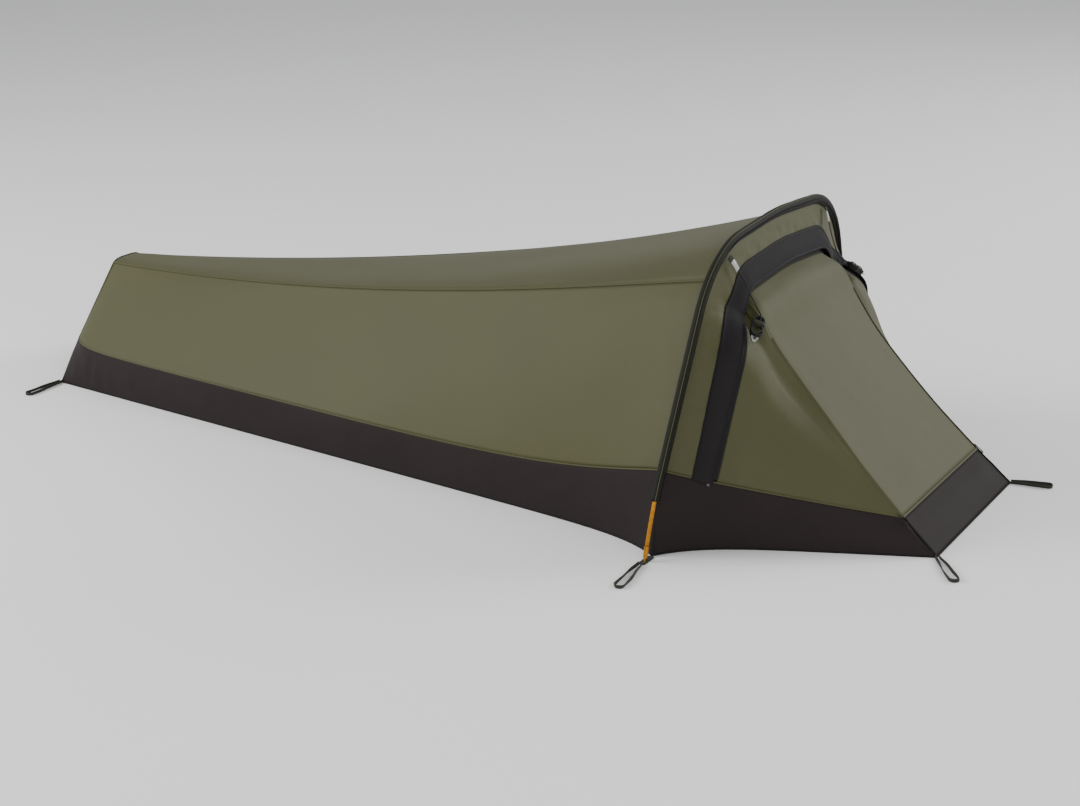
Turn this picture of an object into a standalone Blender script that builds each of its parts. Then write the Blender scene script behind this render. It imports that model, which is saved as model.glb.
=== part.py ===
"""Single hoop bivy shelter, pitched: bathtub floor, tapered canopy, one pole hoop at the head end
and a door with an inverted U zip. Metres, +Z up, +X towards the head end, -Y the right side."""

import math

import bmesh
import bpy
from mathutils import Matrix, Vector

# Lengths along X, from the plane that the hoop's feet stand in
FOOT_END = -1.825
NOSE_END = 0.504

# Half widths and heights of the bathtub floor
FOOT_HALF = 0.261
NOSE_HALF = 0.243
BODY_TAPER = 0.112
HEAD_TAPER = 0.42
CORNER_FLARE = 0.058
TUB_AT_FOOT = 0.105
TUB_LOW = 0.098
TUB_AT_HOOP = 0.178
TUB_AT_NOSE = 0.070
NOSE_TOP_X = 0.425
NOSE_TOP_HALF = 0.236
TUB_TOP_AT_HOOP = 0.4948
FOOT_PINCH = 0.068

# The pole hoop: foot, start of the straight leg, shoulder corner and crown
HOOP_FOOT = 0.556
HOOP_OUTLINE = ((HOOP_FOOT, 0.0, 0.0), (0.5296, 0.1135, 0.60), (0.319, 0.5934, 0.21))
CROWN_HEIGHT = 0.614
LEAN = 0.0385
POLE_RADIUS = 0.00425
SECTIONS = 4
POLE_STEPS = 48
TIP_LENGTH = 0.034

# The foot end and the shoulder seams
FOOT_TOP_HALF = 0.050
FOOT_TOP_HEIGHT = 0.272
SHOULDER_HALF = 0.318
SHOULDER_HEIGHT = 0.540

# Cloth
CLOTH = 0.0022
SEAM_GAP = 0.003
NOSE_INSET = 0.012
SLEEVE_RADIUS = 0.0085
CANOPY_INSET = 0.0115

# The face ahead of the hoop: steep under the crown, shallow beside the legs, drawn in at the corners.
# The shares run from the crown (0) to a foot (1).
CROWN_SLOPE = math.radians(73)
LEG_SLOPE = math.radians(33)
STEEP_UNTIL = 0.385
SHALLOW_FROM = 0.55
CORNER_DRAW = 0.021
CORNER_SHARE = 0.36
CORNER_WIDTH = 0.09

# Distances of the door's lines from the hoop, along the face
BAND_START = 0.006
ZIP_LINE = 0.094
ZIP_HALF = 0.006
FLAP_OUTER = 0.0485
FLAP_INNER = 0.103
FLAP_RAISE = 0.0095
DOOR_CLEARANCE = 0.0072
DOOR_LINE = FLAP_INNER + DOOR_CLEARANCE

# Webbing and guylines
WEBBING = 0.0016
LOOP_HEIGHT = 0.008
CORD_RADIUS = 0.00125
HANK_SIZE = (0.026, 0.013, 0.056)

RIGHT = -1
LEFT = 1
SIDES = (("right", RIGHT), ("left", LEFT))
HOLLOW = Vector((-0.4, 0.0, 0.12))


def clear_scene():
    for obj in list(bpy.data.objects):
        bpy.data.objects.remove(obj, do_unlink=True)


def make_material(name, colour, roughness, metallic=0.0):
    material = bpy.data.materials.new(name)
    material.use_nodes = True
    shader = material.node_tree.nodes["Principled BSDF"]
    shader.inputs["Base Color"].default_value = (*colour, 1.0)
    shader.inputs["Roughness"].default_value = roughness
    shader.inputs["Metallic"].default_value = metallic
    return material


def make_object(name, mesh_data, material):
    mesh = bpy.data.meshes.new(name)
    mesh_data.to_mesh(mesh)
    mesh_data.free()
    mesh.materials.append(material)
    obj = bpy.data.objects.new(name, mesh)
    bpy.context.scene.collection.objects.link(obj)
    return obj


def set_origin(obj, point):
    """Moves the object's origin onto its joint's axis and leaves its shape where it is."""
    obj.data.transform(Matrix.Translation(-point))
    obj.data.update()
    obj.location = point


# ---------------------------------------------------------------- outlines


def body_share(x):
    return (x - FOOT_END) / -FOOT_END


def floor_half(x):
    """Half width of the floor, flared to the hoop's feet."""
    if x <= 0:
        return FOOT_HALF + BODY_TAPER * (x - FOOT_END) + CORNER_FLARE * math.exp(x / 0.085)
    at_hoop = FOOT_HALF - BODY_TAPER * FOOT_END + CORNER_FLARE
    straight = NOSE_HALF + HEAD_TAPER * (NOSE_END - x)
    start = NOSE_HALF + HEAD_TAPER * NOSE_END
    return straight + (at_hoop - start) * math.exp(-x / 0.06)


def tub_top(x):
    """Half width and height of the bathtub's upper edge at x, drawn in at the foot and the hoop."""
    if x <= 0:
        share = body_share(x)
        rise_foot = (TUB_AT_FOOT - TUB_LOW) * (1 - share) ** 8
        height = TUB_LOW + rise_foot + (TUB_AT_HOOP - TUB_LOW) * share**8
        at_hoop = floor_half(0) - 0.1 * TUB_AT_HOOP - TUB_TOP_AT_HOOP
        drawn_in = at_hoop * math.exp(x / 0.085) + FOOT_PINCH * math.exp((FOOT_END - x) / 0.05)
        return floor_half(x) - 0.1 * height - drawn_in, height
    share = min(x / NOSE_TOP_X, 1.0)
    half = TUB_TOP_AT_HOOP + (NOSE_TOP_HALF - TUB_TOP_AT_HOOP) * share
    return half, TUB_AT_HOOP + (TUB_AT_NOSE - TUB_AT_HOOP) * share**0.9


def tub_point(x, side):
    half, height = tub_top(x)
    return Vector((x, side * half, height))


def shoulder_point(share, side):
    """A point on the shoulder seam, from the foot end (0) to the hoop (1)."""
    rise = 0.3 * share + 0.7 * share**2
    height = FOOT_TOP_HEIGHT + (SHOULDER_HEIGHT - FOOT_TOP_HEIGHT) * rise
    half = FOOT_TOP_HALF + (SHOULDER_HALF - FOOT_TOP_HALF) * share
    start = FOOT_END + 0.012
    x = start + (LEAN * SHOULDER_HEIGHT - BAND_START - start) * share
    return Vector((x, side * half, height))


def hoop_outline():
    """The hoop's centre line as (y, z) from the right foot to the left one, with filleted corners."""
    half = [Vector((HOOP_OUTLINE[0][0], HOOP_OUTLINE[0][1]))]
    corners = [Vector((y, z)) for y, z, _ in HOOP_OUTLINE] + [Vector((0.0, CROWN_HEIGHT))]
    for index in (1, 2):
        before, corner, after = corners[index - 1 : index + 2]
        radius = HOOP_OUTLINE[index][2]
        into = (corner - before).normalized()
        out = (after - corner).normalized()
        turn = into.angle(out)
        setback = radius * math.tan(turn / 2)
        start = corner - into * setback
        normal = Vector((-into.y, into.x))
        if normal.dot(out) < 0:
            normal.negate()
        centre = start + normal * radius
        for step in range(25):
            angle = turn * step / 24
            half.append(centre - normal * radius * math.cos(angle) + into * radius * math.sin(angle))
    half.append(corners[3])
    right = [Vector((-p.x, p.y)) for p in half]
    return right + [Vector((p.x, p.y)) for p in reversed(half[:-1])]


OUTLINE = hoop_outline()
STATIONS = [0.0]
for first, second in zip(OUTLINE, OUTLINE[1:]):
    STATIONS.append(STATIONS[-1] + (second - first).length)
HOOP_LENGTH = STATIONS[-1]


def hoop_section(distance):
    """Point and inward normal of the hoop at a distance along it from the right foot."""
    distance = min(max(distance, 0.0), HOOP_LENGTH)
    index = next(i for i in range(1, len(STATIONS)) if STATIONS[i] >= distance - 1e-9)
    before, after = OUTLINE[index - 1], OUTLINE[index]
    share = (distance - STATIONS[index - 1]) / (STATIONS[index] - STATIONS[index - 1])
    along = (after - before).normalized()
    return before.lerp(after, share), Vector((along.y, -along.x))


def hoop_point(distance, ahead=0.0, raised=0.0):
    """A point of the face ahead of the hoop, raised outwards from the cloth."""
    point, inward = hoop_section(distance)
    middle = HOOP_LENGTH / 2
    from_crown = abs(distance - middle) / middle
    mix = min(max((SHALLOW_FROM - from_crown) / (SHALLOW_FROM - STEEP_UNTIL), 0.0), 1.0)
    slope = LEG_SLOPE + (CROWN_SLOPE - LEG_SLOPE) * mix * mix * (3 - 2 * mix)
    corner = math.exp(-(((from_crown - CORNER_SHARE) / CORNER_WIDTH) ** 2))
    along = ahead + CORNER_DRAW * corner * min(ahead / 0.05, 1.0)
    place = point + inward * (CANOPY_INSET + along * math.sin(slope) - raised * math.cos(slope))
    x = LEAN * place.y + along * math.cos(slope) + raised * math.sin(slope)
    return Vector((x, place.x, place.y))


def pole_point(distance):
    point, _ = hoop_section(distance)
    return Vector((LEAN * point.y, point.x, point.y))


def pole_path(start, end):
    """The pole's line between two distances. All pieces on the pole share its corners."""
    pitch = HOOP_LENGTH / POLE_STEPS

    def on_line(distance):
        index = min(int(distance / pitch), POLE_STEPS - 1)
        before, after = pole_point(index * pitch), pole_point((index + 1) * pitch)
        return before.lerp(after, distance / pitch - index)

    inner = [index * pitch for index in range(POLE_STEPS + 1)]
    stops = [start] + [stop for stop in inner if start + 0.002 < stop < end - 0.002] + [end]
    return [on_line(stop) for stop in stops]


def leg_start(ahead):
    """The distance along the hoop at which the canopy meets the bathtub's edge."""
    distance = 0.10
    while hoop_point(distance, ahead).z < tub_top(hoop_point(distance, ahead).x)[1]:
        distance += 0.001
    return distance


def spread(start, end, count):
    return [start + (end - start) * step / count for step in range(count + 1)]


def smooth_route(points, step):
    """Points every step along a smooth curve through the given ones."""
    points = [Vector(p) for p in points]
    ends = [points[0] * 2 - points[1]] + points + [points[-1] * 2 - points[-2]]
    fine = []
    for a, b, c, d in zip(ends, ends[1:], ends[2:], ends[3:]):
        for t in (n / 16 for n in range(16)):
            bend = (2 * a - 5 * b + 4 * c - d) * t**2 + (3 * b - a - 3 * c + d) * t**3
            fine.append(0.5 * (2 * b + (c - a) * t + bend))
    fine.append(points[-1])
    route = [fine[0]]
    travelled = 0.0
    for before, after in zip(fine, fine[1:]):
        travelled += (after - before).length
        if travelled >= step:
            route.append(after)
            travelled = 0.0
    if travelled > step / 2:
        route.append(fine[-1])
    else:
        route[-1] = fine[-1]
    return route


# ---------------------------------------------------------------- builders


def sheet(name, rows, material, thickness=CLOTH, outside=None):
    """A cloth panel through rows of points. Its thickness lies on the inner side."""
    mesh = bmesh.new()
    grid = [[mesh.verts.new(point) for point in row] for row in rows]
    for row, following in zip(grid, grid[1:]):
        for a, b, c, d in zip(row, row[1:], following[1:], following):
            mesh.faces.new((a, b, c, d))
    mesh.normal_update()
    lean = sum(face.normal.dot(face.calc_center_median() - HOLLOW) * face.calc_area() for face in mesh.faces)
    if outside is not None:
        lean = sum(face.normal.dot(outside) for face in mesh.faces)
    if lean < 0:
        bmesh.ops.reverse_faces(mesh, faces=mesh.faces)
    panel = make_object(name, mesh, material)
    solid = panel.modifiers.new("Thickness", "SOLIDIFY")
    solid.thickness = thickness
    solid.offset = -1.0
    return panel


def sweep(name, path, radii, material, sides=8, bores=None):
    """A round bar along a path, or a tube with open ends when it has bores."""
    tangents = [(b - a).normalized() for a, b in zip([path[0]] + path[:-1], path[1:] + [path[-1]])]
    across = tangents[0].orthogonal().normalized()
    frames = []
    for tangent in tangents:
        across = (across - tangent * across.dot(tangent)).normalized()
        frames.append((across, tangent.cross(across)))
    mesh = bmesh.new()

    def ring(index, radius):
        first, second = frames[index]
        corners = []
        for step in range(sides):
            angle = math.tau * step / sides
            offset = first * math.cos(angle) + second * math.sin(angle)
            corners.append(mesh.verts.new(path[index] + offset * radius))
        return corners

    def wall(before, after):
        for step in range(sides):
            follow = (step + 1) % sides
            mesh.faces.new((before[step], before[follow], after[follow], after[step]))

    outer = [ring(index, radii[index]) for index in range(len(path))]
    for before, after in zip(outer, outer[1:]):
        wall(before, after)
    if bores is None:
        mesh.faces.new(reversed(outer[0]))
        mesh.faces.new(outer[-1])
    else:
        inner = [ring(index, bores[index]) for index in range(len(path))]
        for before, after in zip(inner, inner[1:]):
            wall(after, before)
        wall(inner[0], outer[0])
        wall(outer[-1], inner[-1])
    bar = make_object(name, mesh, material)
    bar.data.shade_smooth()
    bar.data.set_sharp_from_angle(angle=math.radians(50))
    return bar


def cord(name, route, material):
    curve = bpy.data.curves.new(name, "CURVE")
    curve.dimensions = "3D"
    curve.bevel_depth = CORD_RADIUS
    curve.bevel_resolution = 2
    curve.use_fill_caps = True
    spline = curve.splines.new("POLY")
    spline.points.add(len(route) - 1)
    for point, place in zip(spline.points, route):
        point.co = (*place, 1.0)
    curve.materials.append(material)
    obj = bpy.data.objects.new(name, curve)
    bpy.context.scene.collection.objects.link(obj)
    return obj


def prism(name, outline, height, place, material, hole=None):
    """An upright plate from a flat outline, with an optional hole of as many corners."""
    mesh = bmesh.new()
    outer = [mesh.verts.new((*corner, 0.0)) for corner in outline]
    if hole is None:
        faces = [mesh.faces.new(outer)]
    else:
        inner = [mesh.verts.new((*corner, 0.0)) for corner in hole]
        count = len(outline)
        faces = [
            mesh.faces.new((outer[i], outer[(i + 1) % count], inner[(i + 1) % count], inner[i]))
            for i in range(count)
        ]
    made = bmesh.ops.extrude_face_region(mesh, geom=faces)["geom"]
    lifted = [item for item in made if isinstance(item, bmesh.types.BMVert)]
    bmesh.ops.translate(mesh, verts=lifted, vec=(0.0, 0.0, height))
    bmesh.ops.transform(mesh, matrix=place, verts=mesh.verts)
    bmesh.ops.recalc_face_normals(mesh, faces=mesh.faces)
    return make_object(name, mesh, material)


def circle(radius, count):
    turns = [math.tau * step / count for step in range(count)]
    return [(radius * math.cos(turn), radius * math.sin(turn)) for turn in turns]


def mirrored(half):
    """A closed outline from its corners on the side of +X, in order."""
    return half + [(-x, y) for x, y in reversed(half)]


def facing(point, heading):
    """A frame at point whose X runs along a heading in the ground plane."""
    angle = math.atan2(heading[1], heading[0])
    return Matrix.Translation(point) @ Matrix.Rotation(angle, 4, "Z")


# ---------------------------------------------------------------- materials

clear_scene()
olive = make_material("olive_canopy_nylon", (0.150, 0.143, 0.082), 0.62)
black_cloth = make_material("black_floor_nylon", (0.040, 0.037, 0.038), 0.55)
flap_cloth = make_material("black_flap_cloth", (0.028, 0.026, 0.028), 0.6)
sleeve_cloth = make_material("black_sleeve_cloth", (0.035, 0.034, 0.026), 0.6)
gold = make_material("gold_anodised_aluminium", (0.35, 0.26, 0.08), 0.3, 1.0)
bare_metal = make_material("bare_aluminium", (0.6, 0.6, 0.6), 0.35, 1.0)
grey_webbing = make_material("grey_webbing", (0.07, 0.07, 0.06), 0.8)
black_cord = make_material("black_cord", (0.015, 0.015, 0.015), 0.7)
elastic = make_material("elastic_cord", (0.02, 0.02, 0.02), 0.8)
stay_rod = make_material("glass_fibre_rod", (0.55, 0.52, 0.40), 0.4)
zip_plastic = make_material("black_zip_plastic", (0.02, 0.02, 0.02), 0.4)


# ---------------------------------------------------------------- floor

body_steps = spread(FOOT_END, -0.30, 6)[:-1] + spread(-0.30, 0.0, 6)
head_steps = spread(0.0, 0.16, 4)[1:-1] + spread(0.16, NOSE_END, 4)


def make_floor():
    edge = body_steps + head_steps
    inset = CLOTH + 0.0035
    rows = []
    for x in edge:
        clear_x = min(max(x, FOOT_END + inset), NOSE_END - NOSE_INSET)
        half = floor_half(x) - inset
        rows.append([Vector((clear_x, half * across, CLOTH)) for across in (-1, -0.5, 0, 0.5, 1)])
    sheet("groundsheet", rows, black_cloth, outside=Vector((0, 0, 1)))


def wall_rows(bottom, top, bulge=0.0, levels=3):
    """Rows between a bottom and a top line, kept clear of both, swelling outwards by bulge."""
    rows = []
    for low, high in zip(bottom, top):
        rise = high - low
        margin = SEAM_GAP / rise.length
        row = []
        for share in spread(margin, 1 - margin, levels):
            point = low.lerp(high, share)
            away = Vector((0.0, low.y, 0.0)).normalized()
            row.append(point + away * bulge * 4 * share * (1 - share))
        rows.append(row)
    return rows


def make_bathtub():
    for word, side in SIDES:
        xs = [FOOT_END + SEAM_GAP] + body_steps[1:-1] + [-SEAM_GAP / 2]
        bottom = [Vector((x, side * floor_half(x), 0.0)) for x in xs]
        top = [tub_point(x, side) for x in xs]
        sheet(f"bathtub_side_{word}", wall_rows(bottom, top, 0.004, 2), black_cloth)

        shares = spread(SEAM_GAP / 2, NOSE_END - 0.006, 7)
        bottom = [Vector((x, side * floor_half(x), 0.0)) for x in shares]
        top = [tub_point(x * NOSE_TOP_X / NOSE_END, side) for x in shares]
        sheet(f"bathtub_head_{word}", wall_rows(bottom, top, 0.006, 2), black_cloth)

    half_low = FOOT_HALF - 2 * SEAM_GAP
    half_top = tub_top(FOOT_END)[0] - 2 * SEAM_GAP
    bottom = [Vector((FOOT_END, half_low * a, 0.0)) for a in (-1, -0.5, 0, 0.5, 1)]
    top = [Vector((FOOT_END + 0.004, half_top * a, TUB_AT_FOOT)) for a in (-1, -0.5, 0, 0.5, 1)]
    sheet("bathtub_foot", wall_rows(bottom, top, 0.0, 2), black_cloth)

    half_low = NOSE_HALF - 2 * SEAM_GAP
    half_top = NOSE_TOP_HALF - 2 * SEAM_GAP
    bottom = [Vector((NOSE_END, half_low * a, 0.0)) for a in (-1, -0.5, 0, 0.5, 1)]
    top = [Vector((NOSE_TOP_X, half_top * a, TUB_AT_NOSE)) for a in (-1, -0.5, 0, 0.5, 1)]
    sheet("bathtub_nose", wall_rows(bottom, top, 0.0, 2), black_cloth)


# ---------------------------------------------------------------- canopy


def make_canopy():
    shares = [0.003] + spread(0.0, 0.8, 8)[1:] + spread(0.8, 1.0, 4)[1:-1] + [0.998]
    for word, side in SIDES:
        bottom = [tub_point(FOOT_END * (1 - share) - 0.006 * share, side) for share in shares]
        top = [shoulder_point(share, side) for share in shares]
        rows = []
        for share, low, high in zip(shares, bottom, top):
            rows += wall_rows([low], [high], 0.024 * share**3, 5)
        sheet(f"canopy_side_{word}", rows, olive)

    rows = []
    for share in shares:
        left = shoulder_point(share, LEFT)
        crown = 0.008 + 0.044 * share**4
        half = left.y - SEAM_GAP
        row = []
        for across in spread(-1.0, 1.0, 6):
            lift = crown * (1 - across**4)
            row.append(Vector((left.x + LEAN * lift, half * across, left.z + lift)))
        rows.append(row)
    sheet("canopy_top", rows, olive)

    half_low = tub_top(FOOT_END)[0] - 3 * SEAM_GAP
    half_top = FOOT_TOP_HALF - 2 * SEAM_GAP
    across = spread(-1.0, 1.0, 6)
    bottom = [Vector((FOOT_END + 0.003, half_low * a, TUB_AT_FOOT)) for a in across]
    top = [Vector((FOOT_END + 0.008, half_top * a, FOOT_TOP_HEIGHT - 0.002)) for a in across]
    sheet("foot_panel", wall_rows(bottom, top, 0.0, 3), olive)


def u_rows(ahead_from, ahead_to, count, steps=2, raised=0.0, overlap=0.0):
    """Rows of an inverted U band between two distances ahead of the hoop."""
    rows = []
    starts = {ahead: leg_start(ahead) + overlap for ahead in (ahead_from, ahead_to)}
    for share in spread(0.0, 1.0, count):
        row = []
        for mix in spread(0.0, 1.0, steps):
            ahead = ahead_from + (ahead_to - ahead_from) * mix
            start = starts[ahead_from] + (starts[ahead_to] - starts[ahead_from]) * mix
            row.append(hoop_point(start + (HOOP_LENGTH - 2 * start) * share, ahead, raised))
        rows.append(row)
    return rows


def make_head_band():
    sheet("head_band", u_rows(BAND_START, ZIP_LINE - ZIP_HALF - 0.003, 26, 2, overlap=SEAM_GAP), olive)
    sheet(
        "door_zip",
        u_rows(ZIP_LINE - ZIP_HALF, ZIP_LINE + ZIP_HALF, 26, 1, overlap=SEAM_GAP),
        zip_plastic,
    )
    sheet(
        "storm_flap",
        u_rows(FLAP_OUTER, FLAP_INNER, 26, 2, FLAP_RAISE, overlap=-0.006),
        flap_cloth,
        thickness=0.0018,
    )


# ---------------------------------------------------------------- door

CREASE_START = 0.68


def crease_top(side):
    distance = CREASE_START if side == RIGHT else HOOP_LENGTH - CREASE_START
    return hoop_point(distance, DOOR_LINE)


def crease(side):
    """The fold from the shoulder down to the nose corner, hollow near the top."""
    top = crease_top(side)
    route = [
        (top.x, top.y, top.z),
        (0.092, side * 0.226, 0.445),
        (0.127, side * 0.226, 0.389),
        (0.181, side * 0.219, 0.319),
        (0.251, side * 0.220, 0.242),
        (0.328, side * 0.227, 0.161),
        (NOSE_TOP_X, side * NOSE_TOP_HALF, TUB_AT_NOSE),
    ]
    return smooth_route(route, 0.001)


def pick(line, share):
    return line[round(share * (len(line) - 1))]


def make_door_sides():
    for word, side in SIDES:
        start = leg_start(DOOR_LINE)
        ends = (start, CREASE_START) if side == RIGHT else (HOOP_LENGTH - start, HOOP_LENGTH - CREASE_START)
        leg = [hoop_point(d, DOOR_LINE) for d in spread(*ends, 200)]
        fold = crease(side)
        edge_start = leg[0].x
        edge = [tub_point(x, side) for x in spread(edge_start, NOSE_TOP_X, 200)]
        rows = []
        for u in spread(0.004, 0.965, 9):
            row = []
            for v in spread(0.012 + 0.03 * u, 0.976 - 0.018 * u, 6):
                ruled = pick(edge, u) * (1 - v) + pick(fold, u) * v
                bowed = pick(leg, v) - leg[0].lerp(leg[-1], v)
                row.append(ruled + bowed * (1 - u) ** 3)
            rows.append(row)
        sheet(f"door_side_{word}", rows, olive)


def make_door_front():
    """The front of the door, which unzips and falls forward over the nose."""
    right, left = crease(RIGHT), crease(LEFT)
    top = [hoop_point(d, DOOR_LINE) for d in spread(CREASE_START, HOOP_LENGTH - CREASE_START, 200)]
    bottom = [right[-1].lerp(left[-1], share) for share in spread(0.0, 1.0, 200)]
    rows = []
    for u in spread(0.004, 0.990, 10):
        row = []
        for v in spread(0.012, 0.988, 16):
            ruled = pick(right, u) * (1 - v) + pick(left, u) * v
            along = pick(top, v) * (1 - u) + pick(bottom, v) * u
            corners = (top[0] * (1 - v) + top[-1] * v) * (1 - u) + (bottom[0] * (1 - v) + bottom[-1] * v) * u
            row.append(ruled + along - corners)
        rows.append(row)
    panel = sheet("door_front", rows, olive)
    set_origin(panel, Vector((NOSE_TOP_X, 0.0, TUB_AT_NOSE)))


def make_zip_sliders():
    """Two sliders at the feet of the zip, each with a pull tab hanging from it."""
    for word, side in SIDES:
        low = leg_start(ZIP_LINE) + 0.018
        distances = (low, low + 0.05) if side == RIGHT else (HOOP_LENGTH - low, HOOP_LENGTH - low - 0.05)
        raised = 0.0012
        place = hoop_point(distances[0], ZIP_LINE, raised)
        up = (hoop_point(distances[1], ZIP_LINE, raised) - place).normalized()
        ahead = hoop_point(distances[0], ZIP_LINE + 0.01, raised) - place
        out = up.cross(ahead).normalized()
        if out.y * side < 0:
            out.negate()
        across = out.cross(up).normalized()
        frame = Matrix.Translation(place) @ Matrix((across, up, out)).transposed().to_4x4()
        outline = mirrored([(0.0045, -0.006), (0.006, 0.001), (0.004, 0.006)])
        slider = prism(f"zip_slider_{word}", outline, 0.0030, frame, bare_metal)
        set_origin(slider, place)

        hang = place + out * 0.0034 - up * 0.0045
        frame = Matrix.Translation(hang) @ Matrix((across, -up, out)).transposed().to_4x4()
        outline = mirrored([(0.003, 0.0), (0.0035, 0.020), (0.002, 0.024)])
        tab = prism(f"zip_pull_{word}", outline, 0.0014, frame, grey_webbing)
        set_origin(tab, hang)


# ---------------------------------------------------------------- pole and sleeve


def make_pole():
    length = (HOOP_LENGTH - 2 * TIP_LENGTH) / SECTIONS
    for index in range(SECTIONS):
        start = TIP_LENGTH + length * index
        path = pole_path(start + 0.0006, start + length - 0.0006)
        count = len(path)
        sweep(f"pole_section_{index + 1}", path, [POLE_RADIUS] * count, gold, 8, [0.0034] * count)
    for index in range(1, SECTIONS):
        middle = TIP_LENGTH + length * index
        path = pole_path(middle - 0.045, middle + 0.045)
        count = len(path)
        sweep(f"ferrule_{index}", path, [0.0027] * count, bare_metal, 8, [0.0018] * count)
    path = pole_path(TIP_LENGTH + 0.004, HOOP_LENGTH - TIP_LENGTH - 0.004)
    sweep("shock_cord", path, [0.0012] * len(path), elastic, 6)
    for word, side in SIDES:
        stops = (0.0008, 0.008, 0.0085, 0.020, 0.0325, 0.0335)
        radii = (0.0021, 0.0023, 0.0044, 0.0050, 0.0050, 0.0044)
        path = [pole_point(d if side == RIGHT else HOOP_LENGTH - d) for d in stops]
        sweep(f"pole_tip_{word}", path, radii, bare_metal, 12)


def make_sleeve():
    start = 0.125
    path = pole_path(start, HOOP_LENGTH - start)
    count = len(path)
    sweep("pole_sleeve", path, [SLEEVE_RADIUS] * count, sleeve_cloth, 8, [0.0068] * count)


def make_foot_stay():
    """A springy rod inside the foot end, from one lower corner over the top to the other."""
    half = [
        (FOOT_END + 0.016, -0.222, 0.006),
        (FOOT_END + 0.019, -0.132, 0.128),
        (FOOT_END + 0.022, -0.052, 0.238),
        (FOOT_END + 0.024, -0.020, 0.258),
    ]
    middle = [(FOOT_END + 0.024, 0.0, 0.260)]
    route = half + middle + [(x, -y, z) for x, y, z in reversed(half)]
    path = smooth_route(route, 0.022)
    sweep("foot_stay", path, [0.002] * len(path), stay_rod, 6)


# ---------------------------------------------------------------- webbing


def loop_outlines(length, bulb, strand):
    """Outer edge and eye of a webbing loop, both with the same number of corners."""
    outer, eye = [], []
    straight = length - bulb
    neck = 0.0025
    shares = (0.0, 0.35, 0.7, 1.0)
    for share in shares:
        half = neck + (bulb - neck) * math.sin(share * math.pi / 2)
        outer.append((straight * share, -half - strand))
        eye.append((0.014 + (straight - 0.014) * share, -max(half - 0.0005, 0.002)))
    for step in range(1, 7):
        angle = -math.pi / 2 + math.pi * step / 7
        outer.append((straight + (bulb + strand) * math.cos(angle), (bulb + strand) * math.sin(angle)))
        eye.append((straight + (bulb - 0.0005) * math.cos(angle), (bulb - 0.0005) * math.sin(angle)))
    for share in reversed(shares):
        half = neck + (bulb - neck) * math.sin(share * math.pi / 2)
        outer.append((straight * share, half + strand))
        eye.append((0.014 + (straight - 0.014) * share, max(half - 0.0005, 0.002)))
    return outer, eye


def make_peg_loop(name, start, heading, length):
    outer, eye = loop_outlines(length, 0.009, 0.0022)
    loop = prism(name, outer, LOOP_HEIGHT, facing(Vector((*start, 0.0)), heading), grey_webbing, eye)
    set_origin(loop, Vector((*start, LOOP_HEIGHT)))


def make_webbing():
    anchor_end = HOOP_FOOT + 0.016
    for word, side in SIDES:
        corner = floor_half(0) + 0.001
        length = anchor_end - corner
        half = 0.008
        outline = [(0.0, -half), (length, -half), (length, half), (0.0, half)]
        frame = facing(Vector((0.0, side * corner, 0.0)), (0.0, side))
        strap = prism(f"pole_anchor_{word}", outline, WEBBING, frame, grey_webbing)
        drill_place = Matrix.Translation((0.0, side * HOOP_FOOT, -0.004))
        drill = prism(f"eyelet_drill_{word}", circle(0.0056, 16), 0.01, drill_place, grey_webbing)
        drill.hide_render = True
        drill.display_type = "WIRE"
        cut = strap.modifiers.new("Eyelet hole", "BOOLEAN")
        cut.object = drill
        eyelet_place = Matrix.Translation((0.0, side * HOOP_FOOT, 0.0))
        prism(f"eyelet_{word}", circle(0.0052, 16), 0.0022, eyelet_place, bare_metal, circle(0.0036, 16))

        start = (0.0, side * (anchor_end + 0.0025))
        make_peg_loop(f"peg_loop_hoop_{word}", start, (0.12, side * 0.99), 0.125)

        start = (FOOT_END - 0.001, side * (FOOT_HALF + 0.002))
        make_peg_loop(f"peg_loop_foot_{word}", start, (0.0, side), 0.120)

    make_peg_loop("peg_loop_nose_right", (NOSE_END + 0.001, -NOSE_HALF - 0.001), (0.58, -0.82), 0.122)
    make_peg_loop("peg_loop_nose_left", (NOSE_END + 0.001, NOSE_HALF + 0.001), (0.98, 0.21), 0.089)


def make_tie_loops():
    """Small cord loops on the head walls near the nose, which hold the door when it is rolled down."""
    for word, side in SIDES:
        near_nose = NOSE_TOP_X - 0.014
        seam = tub_point(near_nose, side)
        ahead = (tub_point(NOSE_TOP_X, side) - seam).normalized()
        share = near_nose / NOSE_TOP_X
        floor_edge = Vector((share * NOSE_END, side * floor_half(share * NOSE_END), 0.0))
        down_wall = (floor_edge - seam).normalized()
        out = ahead.cross(down_wall).normalized()
        if out.y * side < 0:
            out.negate()
        hang = (ahead + down_wall).normalized()
        across = out.cross(hang)
        start = seam + out * 0.0035 + down_wall * 0.002
        frame = Matrix.Translation(start) @ Matrix((hang, across, out)).transposed().to_4x4()
        outer, eye = loop_outlines(0.026, 0.0055, 0.0016)
        eye = [(0.006 + (x - 0.014) * 1.6, y * 0.92) for x, y in eye]
        loop = prism(f"tie_loop_{word}", outer, 0.0024, frame, black_cord, eye)
        set_origin(loop, start)


# ---------------------------------------------------------------- guylines


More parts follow.
